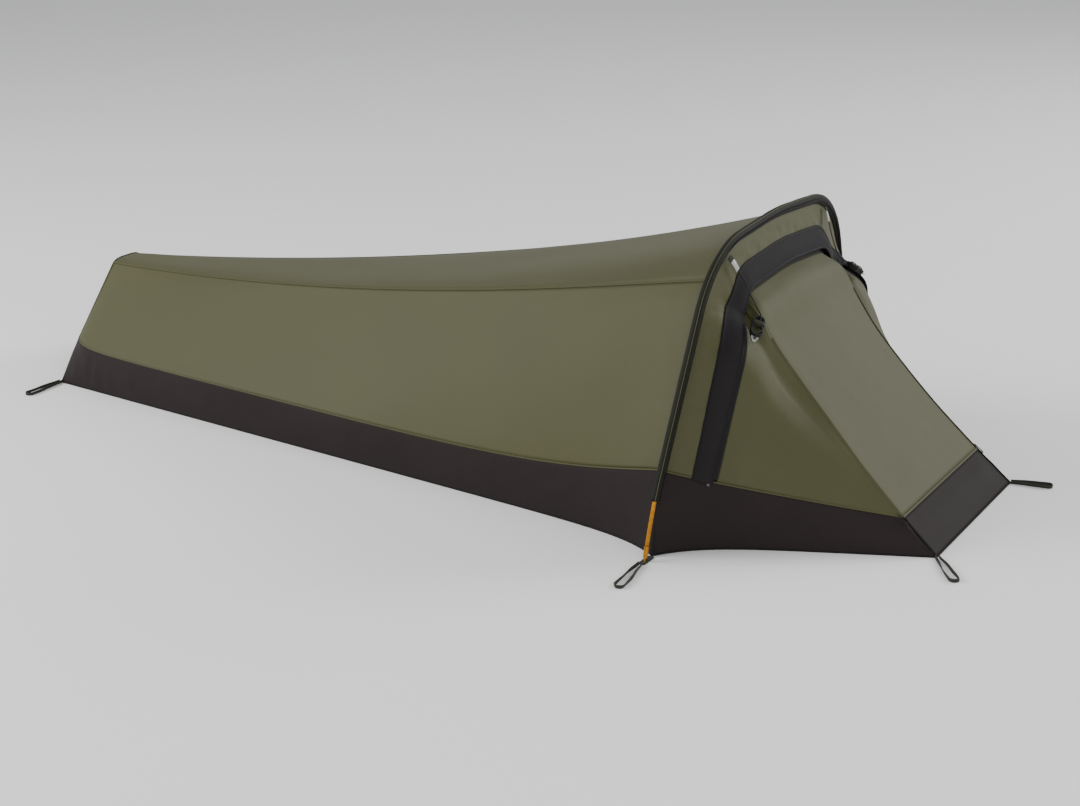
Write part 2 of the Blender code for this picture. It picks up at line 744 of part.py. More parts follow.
def make_guylines():
    for word, side in SIDES:

        def at(distance, ahead, raised, side=side):
            return hoop_point(distance if side == RIGHT else HOOP_LENGTH - distance, ahead, raised)

        top = at(0.668, 0.006, 0.007)
        end = at(0.668, 0.034, 0.0125)
        ahead = (end - top).normalized()
        across = (at(0.678, 0.02, 0.012) - at(0.658, 0.02, 0.012)).normalized()
        out = ahead.cross(across).normalized()
        if out.z < 0:
            out.negate()
        across = out.cross(ahead)
        frame = Matrix.Translation(top) @ Matrix((ahead, across, out)).transposed().to_4x4()
        length = (end - top).length
        outline = [(0.0, -0.0065), (length, -0.0065), (length, 0.0065), (0.0, 0.0065)]
        prism(f"guy_tab_{word}", outline, 0.0018, frame, grey_webbing)

        hank_top = Vector((0.0985, side * 0.2455, 0.4495))
        down = Vector((0.19, side * 0.85, -0.50)).normalized()
        face_out = Vector((0.50, side * 0.72, 0.49))
        face_out = (face_out - down * face_out.dot(down)).normalized()
        width_way = face_out.cross(down).normalized()
        route = [
            end + ahead * 0.0004 + out * 0.0009,
            end + ahead * 0.012 + out * 0.0009,
            at(0.664, 0.058, 0.0175),
            at(0.652, 0.082, 0.022),
            at(0.632, 0.102, 0.029),
            hank_top - down * 0.0012,
        ]
        cord(f"guyline_lead_{word}", smooth_route(route, 0.0055), black_cord)

        half, run = HANK_SIZE[0] / 2, HANK_SIZE[2]
        corner = 0.010
        outline = []
        for centre, start in (((half - corner, corner), -90), ((half - corner, run - corner), 0),
                              ((corner - half, run - corner), 90), ((corner - half, corner), 180)):
            for step in range(5):
                angle = math.radians(start + 22.5 * step)
                outline.append((centre[0] + corner * math.cos(angle), centre[1] + corner * math.sin(angle)))
        base = hank_top - face_out * HANK_SIZE[1] / 2
        frame = Matrix.Translation(base) @ Matrix((width_way, down, face_out)).transposed().to_4x4()
        prism(f"guyline_hank_{word}", outline, HANK_SIZE[1], frame, black_cord)

        place = hank_top + down * (run + 0.0006) - face_out * 0.0015
        frame = Matrix.Translation(place) @ Matrix((width_way, down, face_out)).transposed().to_4x4()
        outline = mirrored([(0.0075, 0.0), (0.0085, 0.003), (0.0025, 0.0155)])
        slot = mirrored([(0.0040, 0.003), (0.0042, 0.0045), (0.0012, 0.0105)])
        prism(f"line_adjuster_{word}", outline, 0.003, frame, bare_metal, slot)


def centre_on_floor():
    """Moves everything so that the origin lies under the middle of the object's box."""
    bpy.context.view_layer.update()
    graph = bpy.context.evaluated_depsgraph_get()
    reach = []
    for obj in bpy.data.objects:
        if obj.hide_render:
            continue
        evaluated = obj.evaluated_get(graph)
        reach += [(evaluated.matrix_world @ vertex.co).x for vertex in evaluated.to_mesh().vertices]
    middle = (min(reach) + max(reach)) / 2
    shift = -round(middle, 4)
    for obj in bpy.data.objects:
        obj.location.x += shift
    print(f"hoop plane at x = {shift:.4f}")


make_floor()
make_bathtub()
make_canopy()
make_head_band()
make_door_sides()
make_door_front()
make_zip_sliders()
make_pole()
make_sleeve()
make_foot_stay()
make_webbing()
make_tie_loops()
make_guylines()
centre_on_floor()
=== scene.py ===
import math

import bmesh
import bpy
from mathutils import Matrix, Vector, noise


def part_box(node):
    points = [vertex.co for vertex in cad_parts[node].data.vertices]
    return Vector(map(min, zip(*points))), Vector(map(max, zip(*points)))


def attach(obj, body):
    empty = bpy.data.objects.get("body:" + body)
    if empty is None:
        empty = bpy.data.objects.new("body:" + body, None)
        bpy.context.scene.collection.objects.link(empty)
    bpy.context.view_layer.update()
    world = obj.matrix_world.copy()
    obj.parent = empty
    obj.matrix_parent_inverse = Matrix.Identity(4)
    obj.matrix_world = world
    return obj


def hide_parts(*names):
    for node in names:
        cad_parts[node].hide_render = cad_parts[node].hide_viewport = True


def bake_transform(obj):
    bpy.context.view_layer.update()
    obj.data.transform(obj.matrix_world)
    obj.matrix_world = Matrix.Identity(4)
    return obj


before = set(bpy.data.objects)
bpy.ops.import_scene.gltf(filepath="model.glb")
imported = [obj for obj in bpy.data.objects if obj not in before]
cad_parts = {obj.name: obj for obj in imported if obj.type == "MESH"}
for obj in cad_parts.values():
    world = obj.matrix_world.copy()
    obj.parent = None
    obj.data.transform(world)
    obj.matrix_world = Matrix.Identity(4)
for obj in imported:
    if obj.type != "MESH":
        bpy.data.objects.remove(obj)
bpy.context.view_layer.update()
print("frame loaded")

# Everything below is laid out from the hoop's own plane, x = 0. hoopX is where that plane stands.
eyeletLow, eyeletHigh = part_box("eyelet_right")
hoopX = (eyeletLow.x + eyeletHigh.x) / 2
right, left = -1, 1
sides = (("right", right), ("left", left))

shell = {  # the driving sizes of the shelter, in metres
    "footEnd": -1.825,
    "noseEnd": 0.504,
    "footHalf": 0.261,
    "noseHalf": 0.243,
    "bodyTaper": 0.112,
    "headTaper": 0.42,
    "cornerFlare": 0.058,
    "flareLength": 0.085,
    "tubAtFoot": 0.105,
    "tubLow": 0.098,
    "tubAtHoop": 0.178,
    "tubAtNose": 0.070,
    "noseTopX": 0.425,
    "noseTopHalf": 0.236,
    "tubTopAtHoop": 0.4948,
    "footPinch": 0.068,
    "pinchLength": 0.05,
    "footTopHalf": 0.050,
    "footTopHeight": 0.272,
    "shoulderHalf": 0.318,
    "shoulderHeight": 0.540,
    "wallLean": 0.1,
}
hoop = {  # the pole's line and the face ahead of it
    "foot": (0.556, 0.0),
    "leg": (0.5296, 0.1135, 0.60),
    "shoulder": (0.319, 0.5934, 0.21),
    "crown": 0.614,
    "crownSoft": 0.060,
    "lean": 0.0385,
    "inset": 0.0115,
    "crownSlope": math.radians(73),
    "legSlope": math.radians(33),
    "steepUntil": 0.385,
    "shallowFrom": 0.55,
    "cornerDraw": 0.021,
    "cornerShare": 0.36,
    "cornerWidth": 0.09,
}
door = {  # distances ahead of the hoop, along the face
    "zipLine": 0.094,
    "zipHalf": 0.006,
    "flapOuter": 0.0485,
    "flapInner": 0.103,
    "flapNarrowing": 0.011,  # how much of its width it loses down its legs
    "edge": 0.1102,
    "creaseStart": 0.68,
    "bendLength": 0.29,
}


def pointCamera():
    view = {"azimuth": 29.847, "elevation": 18.677, "distance": 4.6245, "lens": 66.667, "sensor": 36.0}
    target = Vector((hoopX - 0.5157, -0.0792, 0.1113))
    turn, rise = math.radians(view["azimuth"]), math.radians(view["elevation"])
    back = Vector((math.sin(turn) * math.cos(rise), -math.cos(turn) * math.cos(rise), math.sin(rise)))
    data = bpy.data.cameras.new("camera")
    data.lens = view["lens"]
    data.sensor_width = view["sensor"]
    camera = bpy.data.objects.new("camera", data)
    camera.location = target + back * view["distance"]
    camera.rotation_euler = back.to_track_quat("Z", "Y").to_euler()
    bpy.context.scene.collection.objects.link(camera)
    bpy.context.scene.camera = camera


pointCamera()
print("camera placed")


def spread(start, end, count):
    return [start + (end - start) * step / count for step in range(count + 1)]


def smooth(share):
    share = min(max(share, 0.0), 1.0)
    return share * share * (3 - 2 * share)


def floorHalf(x):  # half width of the floor, flared to the hoop's feet
    start = shell["footHalf"] - shell["bodyTaper"] * shell["footEnd"]
    if x <= 0:
        return start + shell["bodyTaper"] * x + shell["cornerFlare"] * math.exp(x / shell["flareLength"])
    straight = shell["noseHalf"] + shell["headTaper"] * (shell["noseEnd"] - x)
    atHoop = shell["noseHalf"] + shell["headTaper"] * shell["noseEnd"]
    return straight + (start + shell["cornerFlare"] - atHoop) * math.exp(-x / 0.06)


def tubPoint(x, side):  # the upper edge of the black bathtub
    if x <= 0:
        share = (x - shell["footEnd"]) / -shell["footEnd"]
        height = shell["tubLow"] + (shell["tubAtFoot"] - shell["tubLow"]) * (1 - share) ** 8
        height += (shell["tubAtHoop"] - shell["tubLow"]) * share**8
        atHoop = floorHalf(0) - shell["wallLean"] * shell["tubAtHoop"] - shell["tubTopAtHoop"]
        drawnIn = atHoop * math.exp(x / shell["flareLength"])
        drawnIn += shell["footPinch"] * math.exp((shell["footEnd"] - x) / shell["pinchLength"])
        return Vector((x, side * (floorHalf(x) - shell["wallLean"] * height - drawnIn), height))
    share = min(x / shell["noseTopX"], 1.0)
    half = shell["tubTopAtHoop"] + (shell["noseTopHalf"] - shell["tubTopAtHoop"]) * share
    height = shell["tubAtHoop"] + (shell["tubAtNose"] - shell["tubAtHoop"]) * share**0.9
    return Vector((x, side * half, height))


def shoulderPoint(share, side):  # the seam between the canopy's side and its top
    height = shell["shoulderHeight"] - shell["footTopHeight"]
    height = shell["footTopHeight"] + height * (0.3 * share + 0.7 * share**2)
    half = shell["footTopHalf"] + (shell["shoulderHalf"] - shell["footTopHalf"]) * share
    start = shell["footEnd"] + 0.012
    x = start + (hoop["lean"] * shell["shoulderHeight"] - 0.006 - start) * share
    return Vector((x, side * half, height))


def hoopOutline():
    half = [Vector(hoop["foot"])]
    leg, shoulder = hoop["leg"], hoop["shoulder"]
    corners = [Vector(hoop["foot"]), Vector(leg[:2]), Vector(shoulder[:2]), Vector((0, hoop["crown"]))]
    for index, radius in ((1, leg[2]), (2, shoulder[2])):
        before, corner, after = corners[index - 1 : index + 2]
        into = (corner - before).normalized()
        out = (after - corner).normalized()
        turn = into.angle(out)
        start = corner - into * radius * math.tan(turn / 2)
        normal = Vector((-into.y, into.x))
        if normal.dot(out) < 0:
            normal.negate()
        centre = start + normal * radius
        for angle in spread(0.0, turn, 24):
            half.append(centre - normal * radius * math.cos(angle) + into * radius * math.sin(angle))
    # The crown eases over, where the pole's line has a corner
    slope = (hoop["crown"] - shoulder[1]) / shoulder[0]
    soft = hoop["crownSoft"]
    for y in spread(soft, 0.0, 12):
        half.append(Vector((y, hoop["crown"] - slope * (soft + y * y / soft) / 2)))
    return [Vector((-p.x, p.y)) for p in half] + [p.copy() for p in reversed(half[:-1])]


outline = hoopOutline()
stations = [0.0]
for first, second in zip(outline, outline[1:]):
    stations.append(stations[-1] + (second - first).length)
hoopLength = stations[-1]


def hoopSection(distance):
    distance = min(max(distance, 0.0), hoopLength)
    index = next(i for i in range(1, len(stations)) if stations[i] >= distance - 1e-9)
    before, after = outline[index - 1], outline[index]
    share = (distance - stations[index - 1]) / (stations[index] - stations[index - 1])
    along = (after - before).normalized()
    return before.lerp(after, share), Vector((along.y, -along.x))


def fromCrown(distance):
    return abs(distance - hoopLength / 2) / (hoopLength / 2)


def facePoint(distance, ahead=0.0, raised=0.0):  # a point of the face ahead of the hoop
    point, inward = hoopSection(distance)
    share = fromCrown(distance)
    mix = smooth((hoop["shallowFrom"] - share) / (hoop["shallowFrom"] - hoop["steepUntil"]))
    slope = hoop["legSlope"] + (hoop["crownSlope"] - hoop["legSlope"]) * mix
    corner = math.exp(-(((share - hoop["cornerShare"]) / hoop["cornerWidth"]) ** 2))
    along = ahead + hoop["cornerDraw"] * corner * min(ahead / 0.05, 1.0)
    place = point + inward * (hoop["inset"] + along * math.sin(slope) - raised * math.cos(slope))
    x = hoop["lean"] * place.y + along * math.cos(slope) + raised * math.sin(slope)
    return Vector((x, place.x, place.y))


def sideFace(distance, side, ahead=0.0, raised=0.0):  # the same, counted from the foot on that side
    return facePoint(distance if side == right else hoopLength - distance, ahead, raised)


def polePoint(distance):
    point, inward = hoopSection(distance)
    return Vector((hoop["lean"] * point.y, point.x, point.y)), Vector((0.0, -inward.x, -inward.y))


def legStart(ahead):  # how far up the hoop the face leaves the bathtub's edge
    distance = 0.10
    while facePoint(distance, ahead).z < tubPoint(facePoint(distance, ahead).x, right).z:
        distance += 0.001
    return distance


def smoothRoute(points, step):  # points every step along a smooth curve through the given ones
    points = [Vector(p) for p in points]
    ends = [points[0] * 2 - points[1]] + points + [points[-1] * 2 - points[-2]]
    fine = []
    for a, b, c, d in zip(ends, ends[1:], ends[2:], ends[3:]):
        for t in (n / 16 for n in range(16)):
            bend = (2 * a - 5 * b + 4 * c - d) * t**2 + (3 * b - a - 3 * c + d) * t**3
            fine.append(0.5 * (2 * b + (c - a) * t + bend))
    fine.append(points[-1])
    route = [fine[0]]
    travelled = 0.0
    for before, after in zip(fine, fine[1:]):
        travelled += (after - before).length
        if travelled >= step:
            route.append(after)
            travelled = 0.0
    if travelled > step / 2:
        route.append(fine[-1])
    else:
        route[-1] = fine[-1]
    return route


def crease(side):  # the fold from the shoulder down to the nose corner
    route = [
        sideFace(door["creaseStart"], side, door["edge"]),
        (0.092, side * 0.226, 0.445),
        (0.127, side * 0.226, 0.389),
        (0.181, side * 0.219, 0.319),
        (0.251, side * 0.220, 0.242),
        (0.328, side * 0.227, 0.161),
        (shell["noseTopX"], side * shell["noseTopHalf"], shell["tubAtNose"]),
    ]
    return smoothRoute(route, 0.001)


def pick(line, share):
    place = min(max(share, 0.0), 1.0) * (len(line) - 1)
    index = min(int(place), len(line) - 2)
    return line[index].lerp(line[index + 1], place - index)


def linearColour(code):
    channels = [int(code[start : start + 2], 16) / 255 for start in (0, 2, 4)]
    return (*[c / 12.92 if c <= 0.04045 else ((c + 0.055) / 1.055) ** 2.4 for c in channels], 1.0)


def addNode(tree, kind, settings=None, links=None):
    node = tree.nodes.new("ShaderNode" + kind)
    for key, value in (settings or {}).items():
        if isinstance(key, int) or key[0].isupper():
            node.inputs[key].default_value = value
        else:
            setattr(node, key, value)
    for key, source in (links or {}).items():
        tree.links.new(source, node.inputs[key])
    return node


def newMaterial(name, finish):
    material = bpy.data.materials.new(name)
    material.use_nodes = True
    tree = material.node_tree
    shader = tree.nodes["Principled BSDF"]
    for key, value in finish.items():
        shader.inputs[key].default_value = value
    return material, tree, shader


def dress(tree, shader, colours, tone, height, press):
    # Every finish ends here: tone blends its low and high colour, and height is pressed in by press, which is
    # a strength and a depth
    mix = addNode(tree, "Mix", {"data_type": "RGBA"}, {0: tone})
    mix.inputs[6].default_value = linearColour(colours[0])
    mix.inputs[7].default_value = linearColour(colours[1])
    bump = addNode(tree, "Bump", {"Strength": press[0], "Distance": press[1]}, {"Height": height})
    tree.links.new(mix.outputs[2], shader.inputs["Base Color"])
    tree.links.new(bump.outputs[0], shader.inputs["Normal"])


def wovenCloth(name, colours, finish, weave):
    # colours: low and high tone. weave: ripstop cell, drawn thread and slub in mm, and how strong they are
    material, tree, shader = newMaterial(name, finish)
    uv = addNode(tree, "TexCoord").outputs["UV"]
    place = addNode(tree, "TexCoord").outputs["Object"]
    split = addNode(tree, "SeparateXYZ", links={0: uv})
    lines = []
    for axis in (0, 1):
        cells = addNode(
            tree, "Math", {"operation": "MULTIPLY", 1: 1000 / weave["cell"]}, {0: split.outputs[axis]})
        wave = addNode(tree, "Math", {"operation": "PINGPONG", 1: 0.5}, {0: cells.outputs[0]})
        line = addNode(tree, "MapRange", {1: 0.0, 2: 0.09, 3: 1.0, 4: 0.0}, {0: wave.outputs[0]})
        lines.append(line.outputs[0])
    grid = addNode(tree, "Math", {"operation": "MAXIMUM"}, {0: lines[0], 1: lines[1]})
    threads = addNode(tree, "TexChecker", {"Scale": 1000 / weave["thread"]}, {"Vector": uv})
    cloud = addNode(tree, "TexNoise", {"Scale": 5.0, "Detail": 4.0, "Roughness": 0.55}, {"Vector": place})
    slub = addNode(tree, "TexNoise", {"Scale": 1000 / weave["slub"], "Detail": 2.0}, {"Vector": uv})
    tone = addNode(tree, "Math", {"operation": "MULTIPLY_ADD", 1: 0.4, 2: 0.12}, {0: cloud.outputs["Fac"]})
    tone = addNode(tree, "Math", {"operation": "MULTIPLY_ADD", 1: weave["slubTone"]},
                   {0: slub.outputs["Fac"], 2: tone.outputs[0]})
    tone = addNode(tree, "Math", {"operation": "MULTIPLY_ADD", 1: weave["gridTone"], "use_clamp": True},
                   {0: grid.outputs[0], 2: tone.outputs[0]})
    relief = addNode(tree, "Math", {"operation": "MULTIPLY_ADD", 1: 0.35},
                     {0: threads.outputs["Fac"], 2: grid.outputs[0]})
    relief = addNode(tree, "Math", {"operation": "MULTIPLY_ADD", 1: 0.8},
                     {0: slub.outputs["Fac"], 2: relief.outputs[0]})
    dress(tree, shader, colours, tone.outputs[0], relief.outputs[0], (weave["bump"], 0.0003))
    return material


def ribbedWebbing(name, colours, finish, ribs):
    # ribs: the pitch of the weave's cross ribs and the size of its fibres, in mm
    material, tree, shader = newMaterial(name, finish)
    uv = addNode(tree, "TexCoord").outputs["UV"]
    split = addNode(tree, "SeparateXYZ", links={0: uv})
    along = addNode(
        tree, "Math", {"operation": "MULTIPLY", 1: 1000 / ribs["pitch"]}, {0: split.outputs[0]})
    wave = addNode(tree, "Math", {"operation": "PINGPONG", 1: 0.5}, {0: along.outputs[0]})
    fibre = addNode(tree, "TexNoise", {"Scale": 1000 / ribs["fibre"], "Detail": 3.0}, {"Vector": uv})
    tone = addNode(tree, "Math", {"operation": "MULTIPLY_ADD", 1: 0.8},
                   {0: wave.outputs[0], 2: fibre.outputs["Fac"]})
    dress(tree, shader, colours, tone.outputs[0], tone.outputs[0], (0.5, 0.0005))
    return material


def braidedCord(name, colours, finish, braid):
    # braid: the pitch in mm of the strands, drawn on the object's own coordinates
    material, tree, shader = newMaterial(name, finish)
    place = addNode(tree, "TexCoord").outputs["Object"]
    strands = addNode(tree, "TexVoronoi", {"Scale": 1000 / braid["pitch"]}, {"Vector": place})
    crowned = addNode(tree, "MapRange", {1: 0.0, 2: 0.8, 3: 1.0, 4: 0.0}, {0: strands.outputs["Distance"]})
    dress(tree, shader, colours, crowned.outputs[0], crowned.outputs[0], (0.6, 0.00024))
    return material


def workedMetal(name, colours, finish, marks):
    # marks: size in mm of the drawing or turning marks, and how they stretch along each axis
    material, tree, shader = newMaterial(name, finish)
    place = addNode(tree, "TexCoord").outputs["Object"]
    stretch = addNode(tree, "Mapping", {"Scale": marks["stretch"]}, {"Vector": place})
    grain = addNode(tree, "TexNoise", {"Scale": 1000 / marks["size"], "Detail": 4.0},
                    {"Vector": stretch.outputs[0]})
    wear = addNode(tree, "TexNoise", {"Scale": 60.0, "Detail": 3.0}, {"Vector": place})
    rough = addNode(tree, "MapRange", {1: 0.3, 2: 0.7, 3: marks["rough"][0], 4: marks["rough"][1]},
                    {0: grain.outputs["Fac"]})
    tree.links.new(rough.outputs[0], shader.inputs["Roughness"])
    dress(tree, shader, colours, wear.outputs["Fac"], grain.outputs["Fac"], (0.15, 0.0001))
    return material


def mouldedPlastic(name, colours, finish):  # fine moulded grain, drawn at 0.8 mm
    material, tree, shader = newMaterial(name, finish)
    place = addNode(tree, "TexCoord").outputs["Object"]
    grain = addNode(tree, "TexNoise", {"Scale": 1250.0, "Detail": 2.0}, {"Vector": place})
    cloud = addNode(tree, "TexNoise", {"Scale": 30.0}, {"Vector": place})
    dress(tree, shader, colours, cloud.outputs["Fac"], grain.outputs["Fac"], (0.2, 0.0001))
    return material


clothFinish = {
    "IOR": 1.53,
    "Specular IOR Level": 0.25,
    "Roughness": 0.62,
    "Sheen Weight": 0.04,
    "Sheen Roughness": 0.5,
}
darkFinish = {**clothFinish, "Specular IOR Level": 0.12, "Sheen Weight": 0.02}
# Olive polyurethane coated ripstop nylon: matt with a faint lift at grazing angles. The 5 mm ripstop
# cells are real; a 0.3 mm yarn can't show, so it is drawn at 1.2 mm.
oliveRipstop = wovenCloth(
    "olive_coated_ripstop_nylon", ("3F3F23", "4D4D2F"), clothFinish,
    {"cell": 5.0, "thread": 1.2, "slub": 9.0, "slubTone": 0.18, "gridTone": 0.05, "bump": 0.25})
# Heavier black coated nylon for the bathtub: dull and near black, so that only its soft dents show.
blackTubNylon = wovenCloth(
    "black_coated_floor_nylon", ("201C1B", "312B2A"),
    {**darkFinish, "Specular IOR Level": 0.06, "Roughness": 0.6},
    {"cell": 6.0, "thread": 1.5, "slub": 8.0, "slubTone": 0.15, "gridTone": 0.08, "bump": 0.25})
# Plain black nylon of the storm flap: flat and soft, with the yarn drawn at 1.5 mm.
blackFlapNylon = wovenCloth(
    "black_plain_flap_nylon", ("1B191A", "2A2729"),
    {**darkFinish, "Specular IOR Level": 0.08, "Roughness": 0.7},
    {"cell": 3.0, "thread": 1.5, "slub": 6.0, "slubTone": 0.2, "gridTone": 0.0, "bump": 0.3})
# Dark olive-black nylon of the pole sleeve: plain and soft, with the yarn drawn at 1.5 mm.
sleeveNylon = wovenCloth(
    "dark_sleeve_nylon", ("151511", "21211A"), {**darkFinish, "Roughness": 0.64},
    {"cell": 3.0, "thread": 1.5, "slub": 6.0, "slubTone": 0.2, "gridTone": 0.05, "bump": 0.3})
# Seams in the canopy's own olive, with the weave drawn finer where the cloth is folded on itself.
# The same olive also draws the painted highlight strip along the pole sleeve.
oliveSeamAndHighlight = wovenCloth(
    "olive_folded_seam_and_painted_highlight", ("3F3F23", "4D4D2F"), clothFinish,
    {"cell": 3.0, "thread": 1.0, "slub": 4.0, "slubTone": 0.3, "gridTone": 0.1, "bump": 0.5})
# The same folded seam in black, for the bathtub, the flap and the sleeve's bindings.
blackTape = wovenCloth(
    "black_folded_seam", ("121011", "1E1B1C"), darkFinish,
    {"cell": 3.0, "thread": 1.0, "slub": 4.0, "slubTone": 0.3, "gridTone": 0.1, "bump": 0.5})
# Polypropylene webbing: ribbed across every 1.2 mm, dark, dull and slightly hairy.
greyWebbing = ribbedWebbing(
    "grey_polypropylene_webbing", ("141512", "36372F"),
    {"IOR": 1.49, "Specular IOR Level": 0.2, "Roughness": 0.8, "Sheen Weight": 0.05},
    {"pitch": 1.2, "fibre": 0.8})
# Reflective tape: a grey-white glass-bead face on woven polyester, smoother than the webbing.
whiteTape = ribbedWebbing(
    "white_reflective_tape", ("757571", "A3A39E"),
    {"IOR": 1.5, "Roughness": 0.35, "Coat Weight": 0.3}, {"pitch": 1.5, "fibre": 1.0})
# Zip tape: black woven polyester, flat, with a rib across it every millimetre.
zipTape = ribbedWebbing(
    "black_polyester_zip_tape", ("0E0D0E", "1A191A"),
    {"IOR": 1.57, "Specular IOR Level": 0.2, "Roughness": 0.7}, {"pitch": 1.0, "fibre": 0.8})
# Braided polyester line: round and dull, in strands a millimetre long.
blackLine = braidedCord(
    "black_braided_polyester", ("0B0B0B", "1C1C1B"),
    {"IOR": 1.57, "Specular IOR Level": 0.25, "Roughness": 0.6}, {"pitch": 1.0})
# Elastic cord under a finer braid, a little duller than the line.
elasticBraid = braidedCord(
    "black_elastic_braid", ("101010", "262626"), {"IOR": 1.52, "Roughness": 0.75}, {"pitch": 0.8})
# Gold anodised aluminium of the pole and its tips: drawn along its length, satin under the dyed oxide.
goldAnodised = workedMetal(
    "gold_anodised_aluminium", ("8F5E12", "C9861F"), {"Metallic": 1.0, "Coat Weight": 0.2},
    {"size": 1.5, "stretch": (1.0, 1.0, 0.08), "rough": (0.24, 0.4)})
# Bare aluminium: turned ferrules, pressed eyelets, adjusters and zip sliders, bright with fine turning marks.
bareAluminium = workedMetal(
    "bare_turned_aluminium", ("9A9A98", "C9C9C6"), {"Metallic": 1.0},
    {"size": 0.6, "stretch": (1.0, 1.0, 4.0), "rough": (0.28, 0.46)})
# Moulded acetal of the zip's coil and pulls: black, with a clean shine on its edges.
blackAcetal = mouldedPlastic(
    "black_acetal_zip_coil", ("121212", "242424"), {"IOR": 1.48, "Roughness": 0.35})
# Drawn glass fibre rod: pale and resin-smooth.
paleGlassFibre = mouldedPlastic(
    "pale_glass_fibre_rod", ("A9A184", "C4BD9F"), {"IOR": 1.55, "Roughness": 0.4})

keptFinishes = {
    "eyelet": bareAluminium,
    "ferrule": bareAluminium,
    "line_adjuster": bareAluminium,
    "zip_slider": bareAluminium,
    "pole_tip": goldAnodised,
    "pole_section": goldAnodised,
    "shock_cord": elasticBraid,
    "foot_stay": paleGlassFibre,
    "zip_pull": blackAcetal,
}
for nodeName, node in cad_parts.items():
    for word, finish in keptFinishes.items():
        if nodeName.startswith(word):
            for slotIndex in range(len(node.data.materials)):
                node.data.materials[slotIndex] = finish
print("materials made")


def addPiece(name, mesh, material):
    data = bpy.data.meshes.new(name)
    mesh.to_mesh(data)
    mesh.free()
    data.materials.append(material)
    data.shade_smooth()
    piece = bpy.data.objects.new(name, data)
    bpy.context.scene.collection.objects.link(piece)
    return piece


def clothGrid(
    name, place, count, material, thickness=0.0012, swell=None, outside=None, hollow=(-0.4, 0, 0.12)
):
    # A panel of cloth: place(u, v) gives its points, swell(u, v, point) lifts them along their normals.
    # Its faces look along outside where that is given, and otherwise away from the point hollow.
    # Its UVs run in metres along and across the panel, so that every weave keeps its real size.
    mesh = bmesh.new()
    uvLayer = mesh.loops.layers.uv.new("UVMap")
    bmesh.ops.create_grid(mesh, x_segments=count[0], y_segments=count[1], size=0.5)
    grid = {}
    for vertex in mesh.verts:
        u, v = vertex.co.x + 0.5, vertex.co.y + 0.5
        grid[round(u * count[0]), round(v * count[1])] = vertex
        vertex.co = place(u, v)
    mesh.normal_update()
    lean = 0.0
    for face in mesh.faces:
        outward = face.calc_center_median() - Vector(hollow) if outside is None else Vector(outside)
        lean += face.normal.dot(outward) * face.calc_area()
    if lean < 0:
        bmesh.ops.reverse_faces(mesh, faces=mesh.faces)
        mesh.normal_update()
    if swell is not None:
        normals = {vertex: vertex.normal.copy() for vertex in mesh.verts}
        for (column, row), vertex in grid.items():
            vertex.co += normals[vertex] * swell(column / count[0], row / count[1], vertex.co)
    flatPlace = {}
    travelled = 0.0
    middle = count[1] // 2
    for column in range(count[0] + 1):
        if column:
            travelled += (grid[column, middle].co - grid[column - 1, middle].co).length
        heights = [0.0]
        for row in range(count[1]):
            heights.append(heights[-1] + (grid[column, row + 1].co - grid[column, row].co).length)
        for row in range(count[1] + 1):
            flatPlace[grid[column, row]] = (travelled, heights[row] - heights[-1] / 2)
    for face in mesh.faces:
        for loop in face.loops:
            loop[uvLayer].uv = flatPlace[loop.vert]
    size = []
    for across in zip(*flatPlace.values()):
        size.append(max(across) - min(across))
    area = sum(face.calc_area() for face in mesh.faces)
    bmesh.ops.translate(mesh, verts=mesh.verts, vec=(hoopX, 0, 0))
    piece = addPiece(name, mesh, material)
    wall = piece.modifiers.new("Thickness", "SOLIDIFY")
    wall.thickness = thickness
    wall.offset = -1.0
    return piece, size, area


def sweep(name, centres, wide, size, material, closed=False, corners=12, roundness=2.0):
    # A strap, band or tube: a rounded section of size (width, thickness) along centres, its width along wide.
    # Roundness 2 is an ellipse, and more is squarer.
    mesh = bmesh.new()
    uvLayer = mesh.loops.layers.uv.new("UVMap")
    count = len(centres)
    rings = count if closed else count - 1
    bmesh.ops.create_grid(mesh, x_segments=rings, y_segments=corners, size=0.5)
    stops = [0.0]
    for index in range(rings):
        stops.append(stops[-1] + (centres[(index + 1) % count] - centres[index]).length)
    flatPlace = {}
    for vertex in mesh.verts:
        index = round((vertex.co.x + 0.5) * rings)
        turn = math.tau * (vertex.co.y + 0.5)
        here = centres[index % count]
        before = centres[(index - 1) % count] if closed or index > 0 else here
        after = centres[(index + 1) % count] if closed or index < count - 1 else here
        tangent = (after - before).normalized()
        across = wide[index % count] if isinstance(wide, list) else wide
        across = (across - tangent * across.dot(tangent)).normalized()
        thick = tangent.cross(across)
        cosine, sine = math.cos(turn), math.sin(turn)
        reach = (abs(cosine) ** roundness + abs(sine) ** roundness) ** (-1 / roundness)
        vertex.co = here + across * cosine * reach * size[0] / 2 + thick * sine * reach * size[1] / 2
        flatPlace[vertex] = (stops[index], (cosine * reach) * size[0] / 2)
    for face in mesh.faces:
        for loop in face.loops:
            loop[uvLayer].uv = flatPlace[loop.vert]
    bmesh.ops.remove_doubles(mesh, verts=mesh.verts, dist=1e-6)
    if not closed:
        bmesh.ops.holes_fill(mesh, edges=[edge for edge in mesh.edges if edge.is_boundary], sides=0)
    bmesh.ops.recalc_face_normals(mesh, faces=mesh.faces)
    bmesh.ops.translate(mesh, verts=mesh.verts, vec=(hoopX, 0, 0))
    piece = addPiece(name, mesh, material)
    piece.data.set_sharp_from_angle(angle=math.radians(50))
    return piece


def layCloth(name, place, count, material, slotName, node, held="stretched", body="root", **shape):
    # A panel of cloth that stands in the visual model for one node of the frame
    piece, size, area = clothGrid(name, place, count, material, **shape)
    flat = (max(size[1], 0.01), max(size[0], 0.01))
    min(area, size[0] * size[1])
    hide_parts(node)
    if body is not None:  # the door's panels are left without a body
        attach(piece, body)
    return piece


